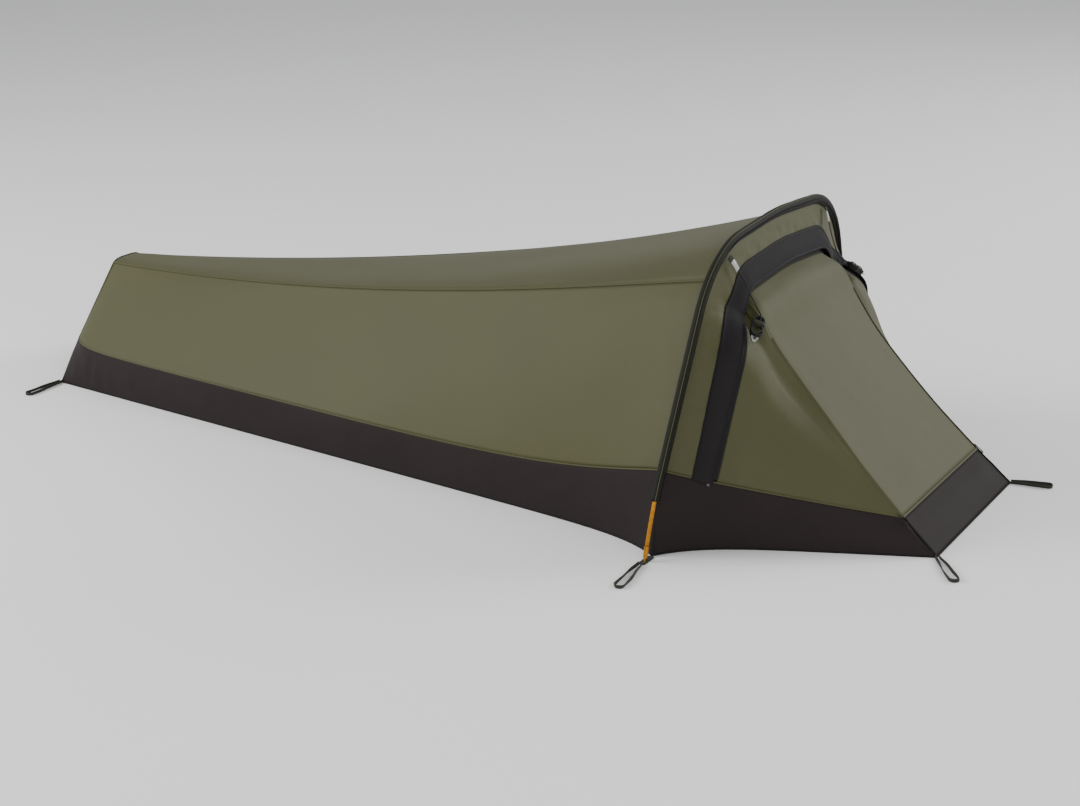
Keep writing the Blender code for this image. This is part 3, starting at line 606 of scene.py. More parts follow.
def wander(point, size, seed):  # slow, repeatable unevenness from -1 to 1
    return noise.noise(Vector(point) / size + Vector((seed, seed * 1.7, -seed)))


def away(share, width=0.06):  # 0 at both ends of a panel, 1 inside it
    return smooth(min(share, 1 - share) / width)


def pucker(fromSeam, along, pitch, depth):  # the short ripples that a line of stitches draws in
    return depth * math.exp(-fromSeam / 0.018) * math.sin(math.tau * along / pitch)


guyline = {
    "diameter": 0.0025,
    "hank": (0.026, 0.056, 0.013),
    "hankTop": (0.0985, 0.2455, 0.4495),
    "hankDown": (0.19, 0.85, -0.50),
    "hankOut": (0.50, 0.72, 0.49),
    "turns": (4.2, 3.77),
    "pointsPerTurn": 28,
    "tabTop": (0.668, 0.006, 0.007),
    "tabEnd": (0.668, 0.034, 0.0125),
}


def makeGuyline(word, side):
    def at(spot):
        return sideFace(spot[0], side, spot[1], spot[2])

    top, end = at(guyline["tabTop"]), at(guyline["tabEnd"])
    ahead = (end - top).normalized()
    across = (at((0.678, 0.02, 0.012)) - at((0.658, 0.02, 0.012))).normalized()
    out = ahead.cross(across).normalized()
    if out.z < 0:
        out.negate()
    across = out.cross(ahead)

    hankTop, down, faceOut = [Vector(guyline[key]) for key in ("hankTop", "hankDown", "hankOut")]
    for vector in (hankTop, down, faceOut):
        vector.y *= side
    down.normalize()
    faceOut = (faceOut - down * faceOut.dot(down)).normalized()
    widthWay = faceOut.cross(down).normalized()
    base = hankTop - faceOut * guyline["hank"][2] / 2

    def inHank(x, y, z):  # millimetres across, down and outwards in the hank
        return base + (widthWay * x + down * y + faceOut * z) / 1000

    # Lead: out of the tab, over the flap, onto the front of the hank
    exitPoint = end + ahead * 0.0006 + out * 0.0009
    lead = [
        exitPoint,
        end + ahead * 0.012 + out * 0.0009,
        at((0.664, 0.058, 0.0175)),
        at((0.652, 0.082, 0.022)),
        at((0.632, 0.102, 0.029)),
        inHank(0, -4, 9.5),
        inHank(0.5, 4, 13.8),
        inHank(2, 15, 14.6),
        inHank(5.5, 27, 14.4),
        inHank(10, 37, 13.2),
    ]
    route = smoothRoute(lead, 0.004)
    # Turns: a racetrack wound from front to back, then from back to front inside it
    half = guyline["hank"][0] * 500
    cordWidth = guyline["diameter"] * 1000
    depth = guyline["hank"][2] * 1000 - cordWidth
    low = guyline["hank"][1] * 1000 - half
    for layer, turns in enumerate(guyline["turns"]):
        steps = int(turns * guyline["pointsPerTurn"])
        radius = half - cordWidth * (0.5 + 1.02 * layer)
        straight = low - half
        lap = 2 * straight + math.tau * radius
        for step in range(steps + 1):
            travelled = turns * step / steps
            z = cordWidth / 2 + depth * ((1 - step / steps) if layer == 0 else step / steps)
            run = (travelled + 0.2 * layer) % 1.0 * lap
            settle = radius + cordWidth * 1.02 * (1 - smooth(step / 10)) * layer
            if run < math.pi * radius:
                turn = run / radius
                x, y = settle * math.cos(turn), low + settle * math.sin(turn)
            elif run < math.pi * radius + straight:
                x, y = -settle, low - (run - math.pi * radius)
            elif run < math.tau * radius + straight:
                turn = math.pi + (run - math.pi * radius - straight) / radius
                x, y = settle * math.cos(turn), half + settle * math.sin(turn)
            else:
                x, y = settle, half + (run - math.tau * radius - straight)
            route.append(inHank(x, y, z))
    last = route[-1]
    # Tail: off the hank's front, down to the adjuster
    tail = [
        last,
        inHank(8.4, 42.5, 13.2),
        inHank(5.5, 48, 14.6),
        inHank(2, 53.5, 14.0),
        inHank(0.3, 58, 11.0),
        inHank(0, 62, 7.6),
    ]
    route += smoothRoute(tail, 0.003)[1:]
    curve = bpy.data.curves.new(f"guyline_{word}", "CURVE")
    curve.dimensions = "3D"
    curve.bevel_depth = guyline["diameter"] / 2
    curve.bevel_resolution = 2
    curve.use_fill_caps = True
    spline = curve.splines.new("POLY")
    spline.points.add(len(route) - 1)
    for point, place in zip(spline.points, route):
        point.co = (place.x + hoopX, place.y, place.z, 1.0)
    curve.materials.append(blackLine)
    cord = bpy.data.objects.new(f"guyline_{word}", curve)
    bpy.context.scene.collection.objects.link(cord)
    length = sum((b - a).length for a, b in zip(route, route[1:]))

    # The tie round the hank's waist, and the sewn tab with its reflective face, darker at its top end
    waist = []
    for turn in spread(0.0, math.tau, 40)[:-1]:
        x, z = math.cos(turn), math.sin(turn)
        reach = (abs(x) ** 3.2 + abs(z) ** 3.2) ** (-1 / 3.2)
        stand = 8.9 if z > 0 else 7.0  # the lead lies on the hank's front, under the tie
        waist.append(inHank(x * reach * (half + 0.5), 22, 6.5 + z * reach * stand))
    tie = sweep(f"hank_tie_{word}", waist, down, (0.008, 0.0009), greyWebbing, closed=True, roundness=5)
    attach(tie, "root")
    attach(cord, "root")
    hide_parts(f"guyline_lead_{word}", f"guyline_hank_{word}")

    length = (end - top).length
    centres = [top + ahead * length * share + out * (0.0009 + 0.0012 * math.sin(math.pi * share))
               for share in spread(0.0, 1.0, 14)]
    tab = sweep(f"guy_tab_tape_{word}", centres, across, (0.013, 0.0018), whiteTape, roundness=6)
    # A thicker, darker band of grey webbing over the tab's top third, where it meets the hoop
    tabDarkBase = sweep(f"guy_tab_dark_base_{word}", centres[:5], across, (0.0142, 0.0034), greyWebbing, roundness=6)
    for piece in (tab, tabDarkBase):
        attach(piece, "root")
    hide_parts(f"guy_tab_{word}")


for word, side in sides:
    makeGuyline(word, side)
print("guylines made")


def wallBetween(low, high, share, bulge):
    point = low.lerp(high, share)
    outward = Vector((0.0, low.y, 0.0)).normalized()
    return point + outward * bulge * 4 * share * (1 - share)


def makeFloor():
    lay = {"inset": 0.0045, "noseInset": 0.010, "height": 0.0022}

    def place(u, v):
        x = shell["footEnd"] + (shell["noseEnd"] - shell["footEnd"]) * u
        x = min(max(x, shell["footEnd"] + lay["inset"]), shell["noseEnd"] - lay["noseInset"])
        return Vector((x, (2 * v - 1) * (floorHalf(x) - lay["inset"]), lay["height"]))

    def swell(u, v, point):
        return (0.0012 + 0.0012 * wander(point, 0.09, 3.0)) * away(u, 0.03) * away(v, 0.05)

    layCloth("floor_sheet", place, (130, 44), blackTubNylon, "floor_fabric", "groundsheet", held="laid",
             thickness=0.001, swell=swell, outside=(0, 0, 1))


def makeBathtub():
    for word, side in sides:

        def bodyWall(u, v, side=side):
            x = shell["footEnd"] * (1 - u)
            return wallBetween(Vector((x, side * floorHalf(x), 0.0012)), tubPoint(x, side), v, 0.004)

        def bodySwell(u, v, point):
            x = point.x
            draw = math.exp(-(x - shell["footEnd"]) / 0.16)
            folds = 0.0040 * draw * wander((x * 2.2, 0, point.z * 0.7), 0.045, 5.0)
            slack = 0.0026 * wander((x, 0, point.z * 2), 0.16, 1.0) + 0.0010 * wander(point, 0.05, 2.0)
            stitches = pucker((1 - v) * 0.1, x, 0.03, 0.0006)
            return (folds + slack + stitches) * away(v, 0.25) * away(u, 0.015)

        layCloth(f"tub_side_cloth_{word}", bodyWall, (190, 16), blackTubNylon, "floor_fabric",
                 f"bathtub_side_{word}", swell=bodySwell)

        def headWall(u, v, side=side):
            x = shell["noseEnd"] * u
            low = Vector((x, side * floorHalf(x), 0.0012))
            return wallBetween(low, tubPoint(x * shell["noseTopX"] / shell["noseEnd"], side), v, 0.006)

        def headSwell(u, v, point):
            slack = 0.0030 * wander((point.x, 0, point.z * 1.5), 0.13, 7.0)
            slack += 0.0008 * wander(point, 0.04, 2.0)
            return slack * away(v, 0.25) * away(u, 0.05)

        layCloth(f"tub_head_cloth_{word}", headWall, (72, 18), blackTubNylon, "floor_fabric",
                 f"bathtub_head_{word}", swell=headSwell)

    footTopHalf = abs(tubPoint(shell["footEnd"], left).y)
    noseSlope = shell["noseTopX"] - shell["noseEnd"]
    ends = (  # name, where it stands, how far its top leans ahead, half widths at the floor and top, height
        ("foot", shell["footEnd"], 0.004, shell["footHalf"], footTopHalf, shell["tubAtFoot"]),
        ("nose", shell["noseEnd"], noseSlope, shell["noseHalf"], shell["noseTopHalf"], shell["tubAtNose"]),
    )
    for word, x, slope, halfLow, halfTop, height in ends:

        def endWall(u, v):
            half = halfLow + (halfTop - halfLow) * v
            return Vector((x + slope * v, (2 * u - 1) * half, 0.0012 + (height - 0.0012) * v))

        def endSwell(u, v, point):
            return (0.003 + 0.003 * wander(point, 0.1, 4.0)) * away(v, 0.4) * away(u, 0.15)

        layCloth(f"tub_{word}_cloth", endWall, (48, 12), blackTubNylon, "floor_fabric", f"bathtub_{word}",
                 swell=endSwell)


makeFloor()
makeBathtub()
print("bathtub made")


def hoopEdge(v, side, fromShare, toShare):
    start = legStart(0.0)
    return sideFace(start + (hoopLength / 2 - start) * (fromShare + (toShare - fromShare) * v), side)


def shoulderShare():  # how far up from the leg the shoulder seam meets the hoop
    start = legStart(0.0)
    shares = spread(0.3, 1.0, 200)
    return min(shares, key=lambda s: abs(abs(sideFace(start + (hoopLength / 2 - start) * s, right).y)
                                         - shell["shoulderHalf"]))


canopy = {
    "seamShare": shoulderShare(),
    "footRise": 0.008,  # how far the top stands up between the shoulder seams, at the foot and at the hoop
    "hoopRise": 0.052,
    "sideBulge": 0.024,
    "endPull": 14,  # how sharply the panels turn up to the hoop at their head end
}


def sidePanelPoint(u, v, side):
    low = tubPoint(shell["footEnd"] * (1 - u) - 0.003 * u, side)
    point = wallBetween(low, shoulderPoint(u, side), v, canopy["sideBulge"] * u**3)
    atHoop = wallBetween(tubPoint(-0.003, side), shoulderPoint(1.0, side), v, canopy["sideBulge"])
    return point + (hoopEdge(v, side, 0.0, canopy["seamShare"]) - atHoop) * u ** canopy["endPull"]


def topPanelPoint(u, v):
    seam = shoulderPoint(u, left)
    across = 2 * v - 1
    rise = canopy["footRise"] + (canopy["hoopRise"] - canopy["footRise"]) * u**4
    lift = rise * (1 - across**4)
    point = Vector((seam.x + hoop["lean"] * lift, seam.y * across, seam.z + lift))
    liftEnd = canopy["hoopRise"] * (1 - across**4)
    end = shoulderPoint(1.0, left)
    atHoop = Vector((end.x + hoop["lean"] * liftEnd, end.y * across, end.z + liftEnd))
    edge = hoopEdge(1.0 - abs(across), left if across > 0 else right, canopy["seamShare"], 1.0)
    return point + (edge - atHoop) * u ** canopy["endPull"]


def makeCanopy():
    for word, side in sides:

        def place(u, v, side=side):
            return sidePanelPoint(u, v, side)

        def swell(u, v, point):
            slack = 0.0030 * wander((point.x * 0.8, 0, point.z), 0.22, 11.0)
            pull = 0.0016 * math.exp(-(1 - u) / 0.07) * wander((point.x * 3, 0, point.z * 0.6), 0.06, 9.0)
            foot = 0.0020 * math.exp(-u / 0.06) * wander((point.x, 0, point.z * 2.0), 0.05, 6.0)
            return (slack + pull + foot) * away(v, 0.12) * away(u, 0.03)

        layCloth(f"canopy_side_cloth_{word}", place, (170, 40), oliveRipstop, "upper_fabric",
                 f"canopy_side_{word}", swell=swell)

    def topSwell(u, v, point):
        return 0.0022 * wander((point.x * 0.8, point.y, 0), 0.2, 13.0) * away(v, 0.12) * away(u, 0.03)

    layCloth("canopy_top_cloth", topPanelPoint, (150, 32), oliveRipstop, "upper_fabric", "canopy_top",
             swell=topSwell)

    footTop = shoulderPoint(0.0, left)
    footLow = tubPoint(shell["footEnd"], left)

    def footPoint(u, v):
        half = footLow.y + (footTop.y - footLow.y) * v
        across = 2 * u - 1
        x = shell["footEnd"] + 0.004 + (footTop.x - shell["footEnd"] - 0.004) * v
        top = footTop.z + canopy["footRise"] * (1 - across**4)
        return Vector((x, across * half, footLow.z + (top - footLow.z) * v))

    def footSwell(u, v, point):
        return (0.0030 + 0.0025 * wander(point, 0.07, 8.0)) * away(u, 0.2) * away(v, 0.2)

    layCloth("foot_panel_cloth", footPoint, (40, 24), oliveRipstop, "upper_fabric", "foot_panel",
             swell=footSwell)


makeCanopy()
print("canopy made")


def makeBand(name, node, aheadFrom, aheadTo, count, material, slotName, raised=0.0, overlap=0.0, **shape):
    # A strip that follows the hoop from one foot to the other, raised off the face where that says
    starts = [legStart(aheadFrom) + overlap, legStart(aheadTo) + overlap]

    def place(u, v):
        start = starts[0] + (starts[1] - starts[0]) * v
        distance = start + (hoopLength - 2 * start) * u
        ahead = aheadFrom + (aheadTo - aheadFrom) * v
        if node == "storm_flap":
            ahead += door["flapNarrowing"] * smooth((fromCrown(distance) - 0.30) / 0.6) * (1 - v)
        return facePoint(distance, ahead, raised(v) if callable(raised) else raised)

    layCloth(name, place, count, material, slotName, node, hollow=(-0.1, 0, 0.15), **shape)
    return place


def makeHeadBand():
    def bandSwell(u, v, point):
        fold = 0.0022 * wander((point.x * 1.5, point.y * 4, point.z * 4), 0.09, 15.0)
        return fold * away(v, 0.3) * away(u, 0.02)

    zipFrom = door["zipLine"] - door["zipHalf"]
    zipTo = door["zipLine"] + door["zipHalf"]
    makeBand("head_band_cloth", "head_band", 0.0, zipFrom, (220, 14), oliveRipstop, "upper_fabric",
             swell=bandSwell)
    makeBand("door_zip_tape", "door_zip", zipFrom, zipTo, (220, 4), zipTape, "zip_plastic", 0.0006, 0.003,
             thickness=0.0008)

    def flapRaise(v):  # sewn down at its outer edge, standing off the zip at its free one
        return 0.0016 + 0.0079 * smooth(v / 0.7)

    def flapSwell(u, v, point):
        return 0.0008 * wander((point.x * 2, point.y * 3, point.z * 3), 0.08, 17.0) * v * away(u, 0.03)

    place = makeBand("storm_flap_cloth", "storm_flap", door["flapOuter"], door["flapInner"], (240, 12),
                     blackFlapNylon, "flap_fabric", flapRaise, -0.006, swell=flapSwell)
    for name, v in (("flap_outer_seam", 0.07), ("flap_free_hem", 0.93)):
        centres = [place(u, v) for u in spread(0.0, 1.0, 240)]
        across = [place(u, min(v + 0.06, 1.0)) - place(u, v - 0.06) for u in spread(0.0, 1.0, 240)]
        hem = sweep(name, centres, across, (0.0050, 0.0022), blackTape, roundness=3)
        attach(hem, "root")

    # Coil of the zip: one small block a turn, two rows interlocked
    teeth = {"pitch": 0.0030, "size": (0.0022, 0.0018, 0.0012), "off": 0.0011, "raised": 0.0012}
    mesh = bmesh.new()
    start = legStart(door["zipLine"]) + 0.006
    distance = start
    row = 1
    while distance < hoopLength - start:
        here = facePoint(distance, door["zipLine"] + row * teeth["off"], teeth["raised"])
        onLine = facePoint(distance, door["zipLine"], teeth["raised"])
        along = (facePoint(distance + 0.002, door["zipLine"], teeth["raised"]) - onLine).normalized()
        aheadWay = facePoint(distance, door["zipLine"] + 0.01) - facePoint(distance, door["zipLine"])
        out = along.cross(aheadWay).normalized()
        aheadWay = out.cross(along)
        turn = Matrix((aheadWay, along, out)).transposed().to_4x4()
        scale = Matrix.Diagonal((*teeth["size"], 1.0))
        bmesh.ops.create_cube(mesh, size=1.0, matrix=Matrix.Translation(here) @ turn @ scale)
        distance += teeth["pitch"] / 2
        row = -row
    bmesh.ops.recalc_face_normals(mesh, faces=mesh.faces)
    bmesh.ops.translate(mesh, verts=mesh.verts, vec=(hoopX, 0, 0))
    coil = addPiece("zip_coil", mesh, blackAcetal)
    coil.data.shade_flat()
    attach(coil, "root")


makeHeadBand()
print("head band, zip and flap made")


def doorBlend(piece):
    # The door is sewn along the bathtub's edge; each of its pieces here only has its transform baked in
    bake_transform(piece)


def doorSidePoint(u, v, side, lines):
    leg, fold, edge = lines
    ruled = pick(edge, u) * (1 - v) + pick(fold, u) * v
    bowed = pick(leg, v) - leg[0].lerp(leg[-1], v)
    return ruled + bowed * (1 - u) ** 3


def doorLines(side):
    start = legStart(door["edge"])
    leg = [sideFace(d, side, door["edge"]) for d in spread(start, door["creaseStart"], 120)]
    edge = [tubPoint(x, side) for x in spread(leg[0].x, shell["noseTopX"], 120)]
    return leg, crease(side), edge


def doorFrontPoint(u, v, folds, top):
    foldRight, foldLeft = folds
    ruled = pick(foldRight, u) * (1 - v) + pick(foldLeft, u) * v
    along = pick(top, v) * (1 - u) + foldRight[-1].lerp(foldLeft[-1], v) * u
    corners = (top[0] * (1 - v) + top[-1] * v) * (1 - u) + foldRight[-1].lerp(foldLeft[-1], v) * u
    return ruled + along - corners


def edgeTape(name, start, end, steps, side):  # the door's half of the zip tape
    centres = [sideFace(d, side, door["edge"] - 0.002, -0.0006) for d in spread(start, end, steps)]
    wide = []
    for distance in spread(start, end, steps):
        wide.append(sideFace(distance, side, door["edge"] + 0.01) - sideFace(distance, side, door["edge"]))
    tape = sweep(name, centres, wide, (0.0075, 0.0014), zipTape, roundness=4)
    doorBlend(tape)


def makeDoor():
    folds = (crease(right), crease(left))
    topFrom, topTo = door["creaseStart"], hoopLength - door["creaseStart"]
    top = [facePoint(d, door["edge"]) for d in spread(topFrom, topTo, 160)]

    def place(u, v):
        return doorFrontPoint(u, v, folds, top)

    def swell(u, v, point):
        slack = 0.0040 * wander((point.x, point.y * 0.8, 0), 0.17, 19.0)
        return (slack + 0.0010 * wander(point, 0.05, 21.0)) * away(v, 0.15) * away(u, 0.08)

    panel = layCloth("door_front_cloth", place, (70, 70), oliveRipstop, "upper_fabric", "door_front",
                     body=None, swell=swell, outside=(1, 0, 1))
    doorBlend(panel)

    for word, side in sides:
        lines = doorLines(side)

        def sidePlace(u, v, side=side, lines=lines):
            return doorSidePoint(u, v, side, lines)

        def sideSwell(u, v, point):
            return 0.0030 * wander((point.x, 0, point.z), 0.12, 23.0) * away(v, 0.2) * away(u, 0.12)

        panel = layCloth(f"door_side_cloth_{word}", sidePlace, (70, 40), oliveRipstop, "upper_fabric",
                         f"door_side_{word}", body=None, swell=sideSwell)
        doorBlend(panel)

        # The felled seam along the fold
        fold = lines[1]
        centres = [pick(fold, s) for s in spread(0.30, 1.0, 90)]
        outward = [Vector((0.45, side * 0.75, 0.5)).normalized()] * len(centres)
        after = centres[1:] + [centres[-1] * 2 - centres[-2]]
        across = [(b - a).cross(out) for a, b, out in zip(centres, after, outward)]
        centres = [point + out * 0.0006 for point, out in zip(centres, outward)]
        seam = sweep(f"door_fold_seam_{word}", centres, across, (0.0055, 0.0016), oliveSeamAndHighlight, roundness=3)
        doorBlend(seam)

        edgeTape(f"door_edge_tape_{word}", legStart(door["edge"]) + 0.004, door["creaseStart"], 80, side)
    edgeTape("door_edge_tape_top", topFrom, topTo, 120, right)


makeDoor()
print("door made")


def makeSleeve():
    # open: how far the tube turns each way from its top, in degrees. tubeShare: how much of the cloth that
    # takes. The rest runs down to the panels, sewnDown below the pole and sewnOff to each side.
    sleeve = {
        "start": 0.125,
        "radius": 0.0086,
        "steps": 150,
        "open": 125,
        "tubeShare": 0.72,
        "sewnDown": 0.0128,
        "sewnOff": 0.0016,
    }
    stops = spread(sleeve["start"], hoopLength - sleeve["start"], sleeve["steps"])
    centres, outs = zip(*[polePoint(stop) for stop in stops])
    ahead = Vector((1, 0, 0))

    def place(u, v):  # an open tube whose two edges come down to the cloth
        index = u * sleeve["steps"]
        base = min(int(index), sleeve["steps"] - 1)
        centre = centres[base].lerp(centres[base + 1], index - base)
        out = outs[base].lerp(outs[base + 1], index - base).normalized()
        across = 2 * v - 1
        turn = math.radians(sleeve["open"]) * min(abs(across) / sleeve["tubeShare"], 1.0)
        up, off = sleeve["radius"] * math.cos(turn), sleeve["radius"] * math.sin(turn)
        skirt = max(abs(across) - sleeve["tubeShare"], 0.0) / (1 - sleeve["tubeShare"])
        up += (-sleeve["sewnDown"] - up) * skirt
        off += (sleeve["sewnOff"] - off) * skirt
        return centre + out * up + ahead * math.copysign(off, across)

    def swell(u, v, point):
        return 0.0006 * wander(point, 0.03, 25.0)

    layCloth("pole_sleeve_cloth", place, (sleeve["steps"], 28), sleeveNylon, "sleeve_fabric", "pole_sleeve",
             swell=swell, hollow=(0, 0, 0.1))

    # Binding along both edges of the sleeve, and between them a thin pale olive strip: a painted highlight
    tapes = (  # name, degrees from the sleeve's top, width, how far it stands off the cloth
        ("sleeve_binding_rear", -118, 0.0055, 0.0016, blackTape),
        ("sleeve_binding_front", 118, 0.0055, 0.0016, blackTape),
        # painted highlight: a thin raised pale olive strip along the dark sleeve's rounded face
        ("sleeve_painted_highlight", 30, 0.0016, 0.0002, oliveSeamAndHighlight),
    )
    for name, turn, width, off, material in tapes:
        angle = math.radians(turn)
        reach = sleeve["radius"] + off
        line, wide = [], []
        for centre, out in zip(centres, outs):
            radial = out * math.cos(angle) + ahead * math.sin(angle)
            line.append(centre + radial * reach)
            wide.append(ahead * math.cos(angle) - out * math.sin(angle))
        tape = sweep(name, line, wide, (width, 0.0016), material, roundness=3)
        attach(tape, "root")


makeSleeve()
print("sleeve made")


seamSizes = {  # width and thickness
    "shoulder": (0.0060, 0.0012),
    "rim": (0.0032, 0.0014),
    "endRim": (0.0045, 0.0018),
    "hem": (0.0034, 0.0020),
    "hoopCorner": (0.0070, 0.0018),
    "corner": (0.0050, 0.0018),
    "edge": (0.0050, 0.0016),
}


def layTape(name, centres, outward, kind, material, lift=0.0004):
    # A seam along centres, lying on cloth that faces outward
    out = Vector(outward)
    after = centres[1:] + [centres[-1] * 2 - centres[-2]]
    wide = [(b - a).cross(out) for a, b in zip(centres, after)]
    centres = [centre + out * lift for centre in centres]
    tape = sweep(name, centres, wide, seamSizes[kind], material, roundness=3)
    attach(tape, "root")


def straightLine(low, high, steps):
    return [low.lerp(high, share) for share in spread(0.0, 1.0, steps)]


def makeSeams():
    footEnd, noseEnd = shell["footEnd"], shell["noseEnd"]
    floorUp, hemUp = 0.002, 0.0018
    for word, side in sides:
        shoulder = [sidePanelPoint(share, 1.0, side) for share in spread(0.0, 0.995, 150)]
        layTape(f"shoulder_seam_{word}", shoulder, (0, side * 0.55, 0.83), "shoulder", oliveRipstop, 0.0002)
        rims = {"bathtub": spread(footEnd, -0.004, 170), "head": spread(0.004, shell["noseTopX"], 60)}
        for name, stops in rims.items():
            rim = [tubPoint(x, side) for x in stops]
            layTape(f"{name}_rim_{word}", rim, (0, side * 0.98, 0.18), "rim", oliveSeamAndHighlight)
        # Folded hem where the floor meets the walls
        hem = [Vector((x, side * (floorHalf(x) - 0.0004), hemUp)) for x in spread(footEnd, noseEnd, 240)]
        layTape(f"floor_hem_{word}", hem, (0, side, 0), "hem", blackTape, 0.0)
        # Seams that stand up: at the foot of the hoop, and at the corners of the foot end and the nose
        low = Vector((0.0, side * floorHalf(0.0), floorUp))
        seam = straightLine(low, tubPoint(0.0, side), 20)
        layTape(f"hoop_corner_seam_{word}", seam, (0, side, 0.1), "hoopCorner", blackTape)
        low = Vector((footEnd, side * shell["footHalf"], floorUp))
        seam = straightLine(low, tubPoint(footEnd, side), 16)
        layTape(f"foot_corner_seam_{word}", seam, (-0.7, side * 0.7, 0.1), "corner", blackTape)
        seam = straightLine(tubPoint(footEnd, side), shoulderPoint(0.0, side), 20)
        layTape(f"foot_edge_seam_{word}", seam, (-0.7, side * 0.7, 0.2), "edge", oliveSeamAndHighlight)
        low = Vector((noseEnd, side * shell["noseHalf"], floorUp))
        seam = straightLine(low, tubPoint(shell["noseTopX"], side), 16)
        layTape(f"nose_corner_seam_{word}", seam, (0.7, side * 0.7, 0.1), "corner", blackTape)
    # Seams that run across the ends
    tubHalf = abs(tubPoint(footEnd, left).y)
    across = (  # name, x and z, half width, steps, and what it faces
        ("nose_hem", (noseEnd, hemUp), shell["noseHalf"], 30, (1, 0, 0)),
        ("foot_hem", (footEnd, hemUp), shell["footHalf"], 30, (-1, 0, 0)),
        ("nose_rim", (shell["noseTopX"], shell["tubAtNose"]), shell["noseTopHalf"], 30, (0.8, 0, 0.6)),
        ("foot_rim", (footEnd + 0.004, shell["tubAtFoot"]), tubHalf, 24, (-1, 0, 0.05)),
    )
    for name, (x, z), half, steps, outward in across:
        seam = [Vector((x, y, z)) for y in spread(-half, half, steps)]
        if name.endswith("hem"):
            layTape(name, seam, outward, "hem", blackTape, 0.0)
        else:
            layTape(name, seam, outward, "endRim", oliveSeamAndHighlight)
    top = shoulderPoint(0.0, left)
    seam = []
    for share in spread(-1.0, 1.0, 24):
        seam.append(Vector((top.x, top.y * share, top.z + canopy["footRise"] * (1 - share**4))))
    layTape("foot_top_seam", seam, (-0.6, 0, 0.8), "edge", oliveSeamAndHighlight)


makeSeams()
print("seams made")


def teardrop(length, bulb, strand):  # the centre line of a loop along x, from one sewn end to the other
    neck = 0.0025
    straight = length - bulb
    radius = bulb + strand / 2
    line = []
    for share in spread(0.0, 1.0, 14):
        width = neck + (bulb - neck) * math.sin(share * math.pi / 2)
        line.append((straight * share, -width - strand / 2))
    for angle in spread(-math.pi / 2, math.pi / 2, 16)[1:-1]:
        line.append((straight + radius * math.cos(angle), radius * math.sin(angle)))
    return line + [(x, -y) for x, y in reversed(line[:15])]


def makePegLoops():
    loops = {  # start, heading and length of each, on the ground
        "foot": ((shell["footEnd"] - 0.001, shell["footHalf"] + 0.002), (0.0, 1.0), 0.120),
        "hoop": ((0.0, hoop["foot"][0] + 0.0185), (0.12, 0.99), 0.125),
    }
    places = []
    for word, side in sides:
        for name, ((x, y), (aheadShare, sideShare), length) in loops.items():
            places.append((f"{name}_{word}", (x, side * y), (aheadShare, side * sideShare), length))
    nose = (shell["noseEnd"] + 0.001, shell["noseHalf"] + 0.001)
    places.append(("nose_right", (nose[0], -nose[1]), (0.58, -0.82), 0.122))
    places.append(("nose_left", nose, (0.98, 0.21), 0.089))
    tape = {"width": 0.0078, "thickness": 0.0019, "bulb": 0.009, "middle": 0.0042}
    for index, (name, start, heading, length) in enumerate(places):
        alongWay = Vector((*heading, 0)).normalized()
        acrossWay = Vector((-alongWay.y, alongWay.x, 0))
        origin = Vector((*start, tape["middle"]))
        centres, wide = [], []
        for x, y in teardrop(length, tape["bulb"], 0.0022):
            lean = 0.22 * math.sin(x * 55 + index)  # every loop twists and wavers a little differently
            centres.append(origin + alongWay * x + acrossWay * (y + 0.0006 * math.sin(x * 90 + index)))
            wide.append(Vector((0, 0, 1)) + acrossWay * lean * math.copysign(1, y))
        size = (tape["width"], tape["thickness"])
        loop = sweep(f"peg_loop_webbing_{name}", centres, wide, size, greyWebbing, roundness=4)
        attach(loop, f"loop_{name}")
        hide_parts(f"peg_loop_{name}")


def makeTieLoops():
    for word, side in sides:
        nearNose = shell["noseTopX"] - 0.014
        seam = tubPoint(nearNose, side)
        ahead = (tubPoint(shell["noseTopX"], side) - seam).normalized()
        lowX = nearNose / shell["noseTopX"] * shell["noseEnd"]
        downWall = (Vector((lowX, side * floorHalf(lowX), 0.0)) - seam).normalized()
        out = ahead.cross(downWall).normalized()
        if out.y * side < 0:
            out.negate()
        hang = (ahead + downWall).normalized()
        across = out.cross(hang)
        start = seam + out * 0.0047 + downWall * 0.002
        centres = [start + hang * x + across * y for x, y in teardrop(0.026, 0.0055, 0.0016)]
        loop = sweep(f"tie_loop_cord_{word}", centres, out, (0.0023, 0.0016), blackLine, roundness=2)
        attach(loop, f"tie_{word}")
        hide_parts(f"tie_loop_{word}")


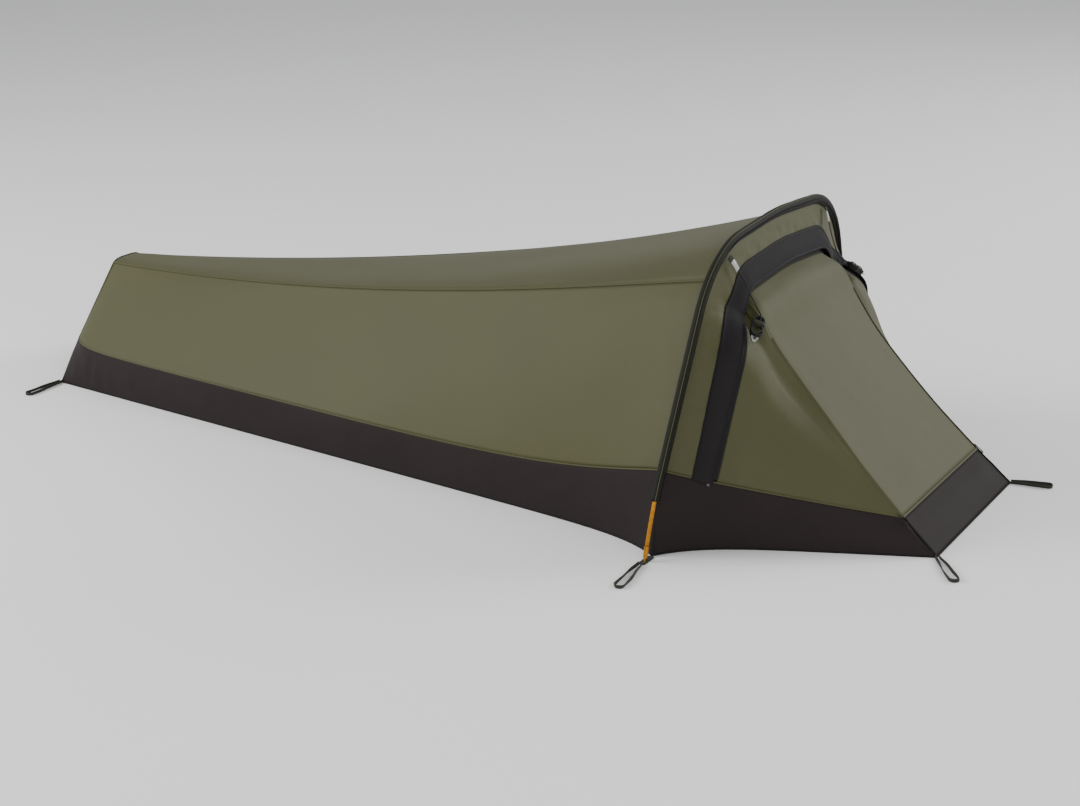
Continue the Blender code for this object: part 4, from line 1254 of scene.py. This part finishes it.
def makePoleAnchors():
    # The strap under each pole foot: a ring of cloth round the eyelet, drawn out to a sewn strap
    strap = {"half": 0.008, "hole": 0.0050, "thickness": 0.0016, "past": 0.016, "count": 32}
    for word, side in sides:
        corner = floorHalf(0) + 0.001
        end = hoop["foot"][0] + strap["past"]
        mesh = bmesh.new()
        uvLayer = mesh.loops.layers.uv.new("UVMap")
        bmesh.ops.create_circle(mesh, radius=strap["hole"], segments=strap["count"])
        outer = bmesh.ops.create_circle(mesh, radius=1.0, segments=strap["count"])["verts"]
        for vertex in outer:  # the far ring becomes the strap's rounded outline
            turn = math.atan2(vertex.co.y, vertex.co.x)
            reach = (abs(math.cos(turn)) ** 8 + abs(math.sin(turn)) ** 8) ** (-1 / 8)
            y = math.sin(turn) * reach
            vertex.co.x = math.cos(turn) * reach * strap["half"]
            vertex.co.y = y * (end - hoop["foot"][0]) if y > 0 else y * (hoop["foot"][0] - corner)
        bmesh.ops.bridge_loops(mesh, edges=mesh.edges)
        bmesh.ops.translate(mesh, verts=mesh.verts, vec=(0, hoop["foot"][0], 0))
        if side == right:
            bmesh.ops.scale(mesh, verts=mesh.verts, vec=(1, -1, 1))
        bmesh.ops.recalc_face_normals(mesh, faces=mesh.faces)
        if sum(face.normal.z for face in mesh.faces) < 0:
            bmesh.ops.reverse_faces(mesh, faces=mesh.faces)
        for face in mesh.faces:
            for loop in face.loops:
                loop[uvLayer].uv = (loop.vert.co.y, loop.vert.co.x)
        bmesh.ops.translate(mesh, verts=mesh.verts, vec=(hoopX, 0, strap["thickness"]))
        piece = addPiece(f"pole_anchor_strap_{word}", mesh, greyWebbing)
        wall = piece.modifiers.new("Thickness", "SOLIDIFY")
        wall.thickness = strap["thickness"] - 0.0002
        wall.offset = -1.0
        edge = piece.modifiers.new("Worn edge", "BEVEL")
        edge.width = 0.0004
        edge.segments = 2
        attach(piece, "root")
        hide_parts(f"pole_anchor_{word}")


makePegLoops()
makeTieLoops()
makePoleAnchors()
print("webbing made")


def makeStudio():
    studio = {"floorSize": 40.0, "floorColour": "F3F3F2", "world": "F4F5F7", "worldStrength": 0.55}
    mesh = bmesh.new()
    bmesh.ops.create_grid(mesh, x_segments=1, y_segments=1, size=studio["floorSize"] / 2)
    bmesh.ops.translate(mesh, verts=mesh.verts, vec=(0, 0, -0.0004))
    floorMaterial, _, _ = newMaterial(
        "studio_floor", {"Base Color": linearColour(studio["floorColour"]), "Roughness": 0.9})
    addPiece("studio_floor", mesh, floorMaterial)
    world = bpy.data.worlds.new("studio")
    world.use_nodes = True
    background = world.node_tree.nodes["Background"]
    background.inputs["Color"].default_value = linearColour(studio["world"])
    background.inputs["Strength"].default_value = studio["worldStrength"]
    bpy.context.scene.world = world
    lamps = (  # name, place, size, power
        ("key from the foot's side", (-4.2, -3.4, 3.0), 3.0, 320.0),
        ("from behind the head", (4.2, 5.0, 3.4), 3.5, 300.0),
        ("top", (-0.4, 1.2, 4.2), 4.0, 25.0),
        ("weak fill from the door", (3.6, -3.6, 2.0), 3.0, 95.0),
    )
    for name, place, size, power in lamps:
        data = bpy.data.lights.new(name, "AREA")
        data.size = size
        data.energy = power
        lamp = bpy.data.objects.new(name, data)
        lamp.location = Vector(place)
        lamp.rotation_euler = (lamp.location - Vector((0, 0, 0.2))).to_track_quat("Z", "Y").to_euler()
        bpy.context.scene.collection.objects.link(lamp)


makeStudio()
print("studio made")

bpy.context.view_layer.update()
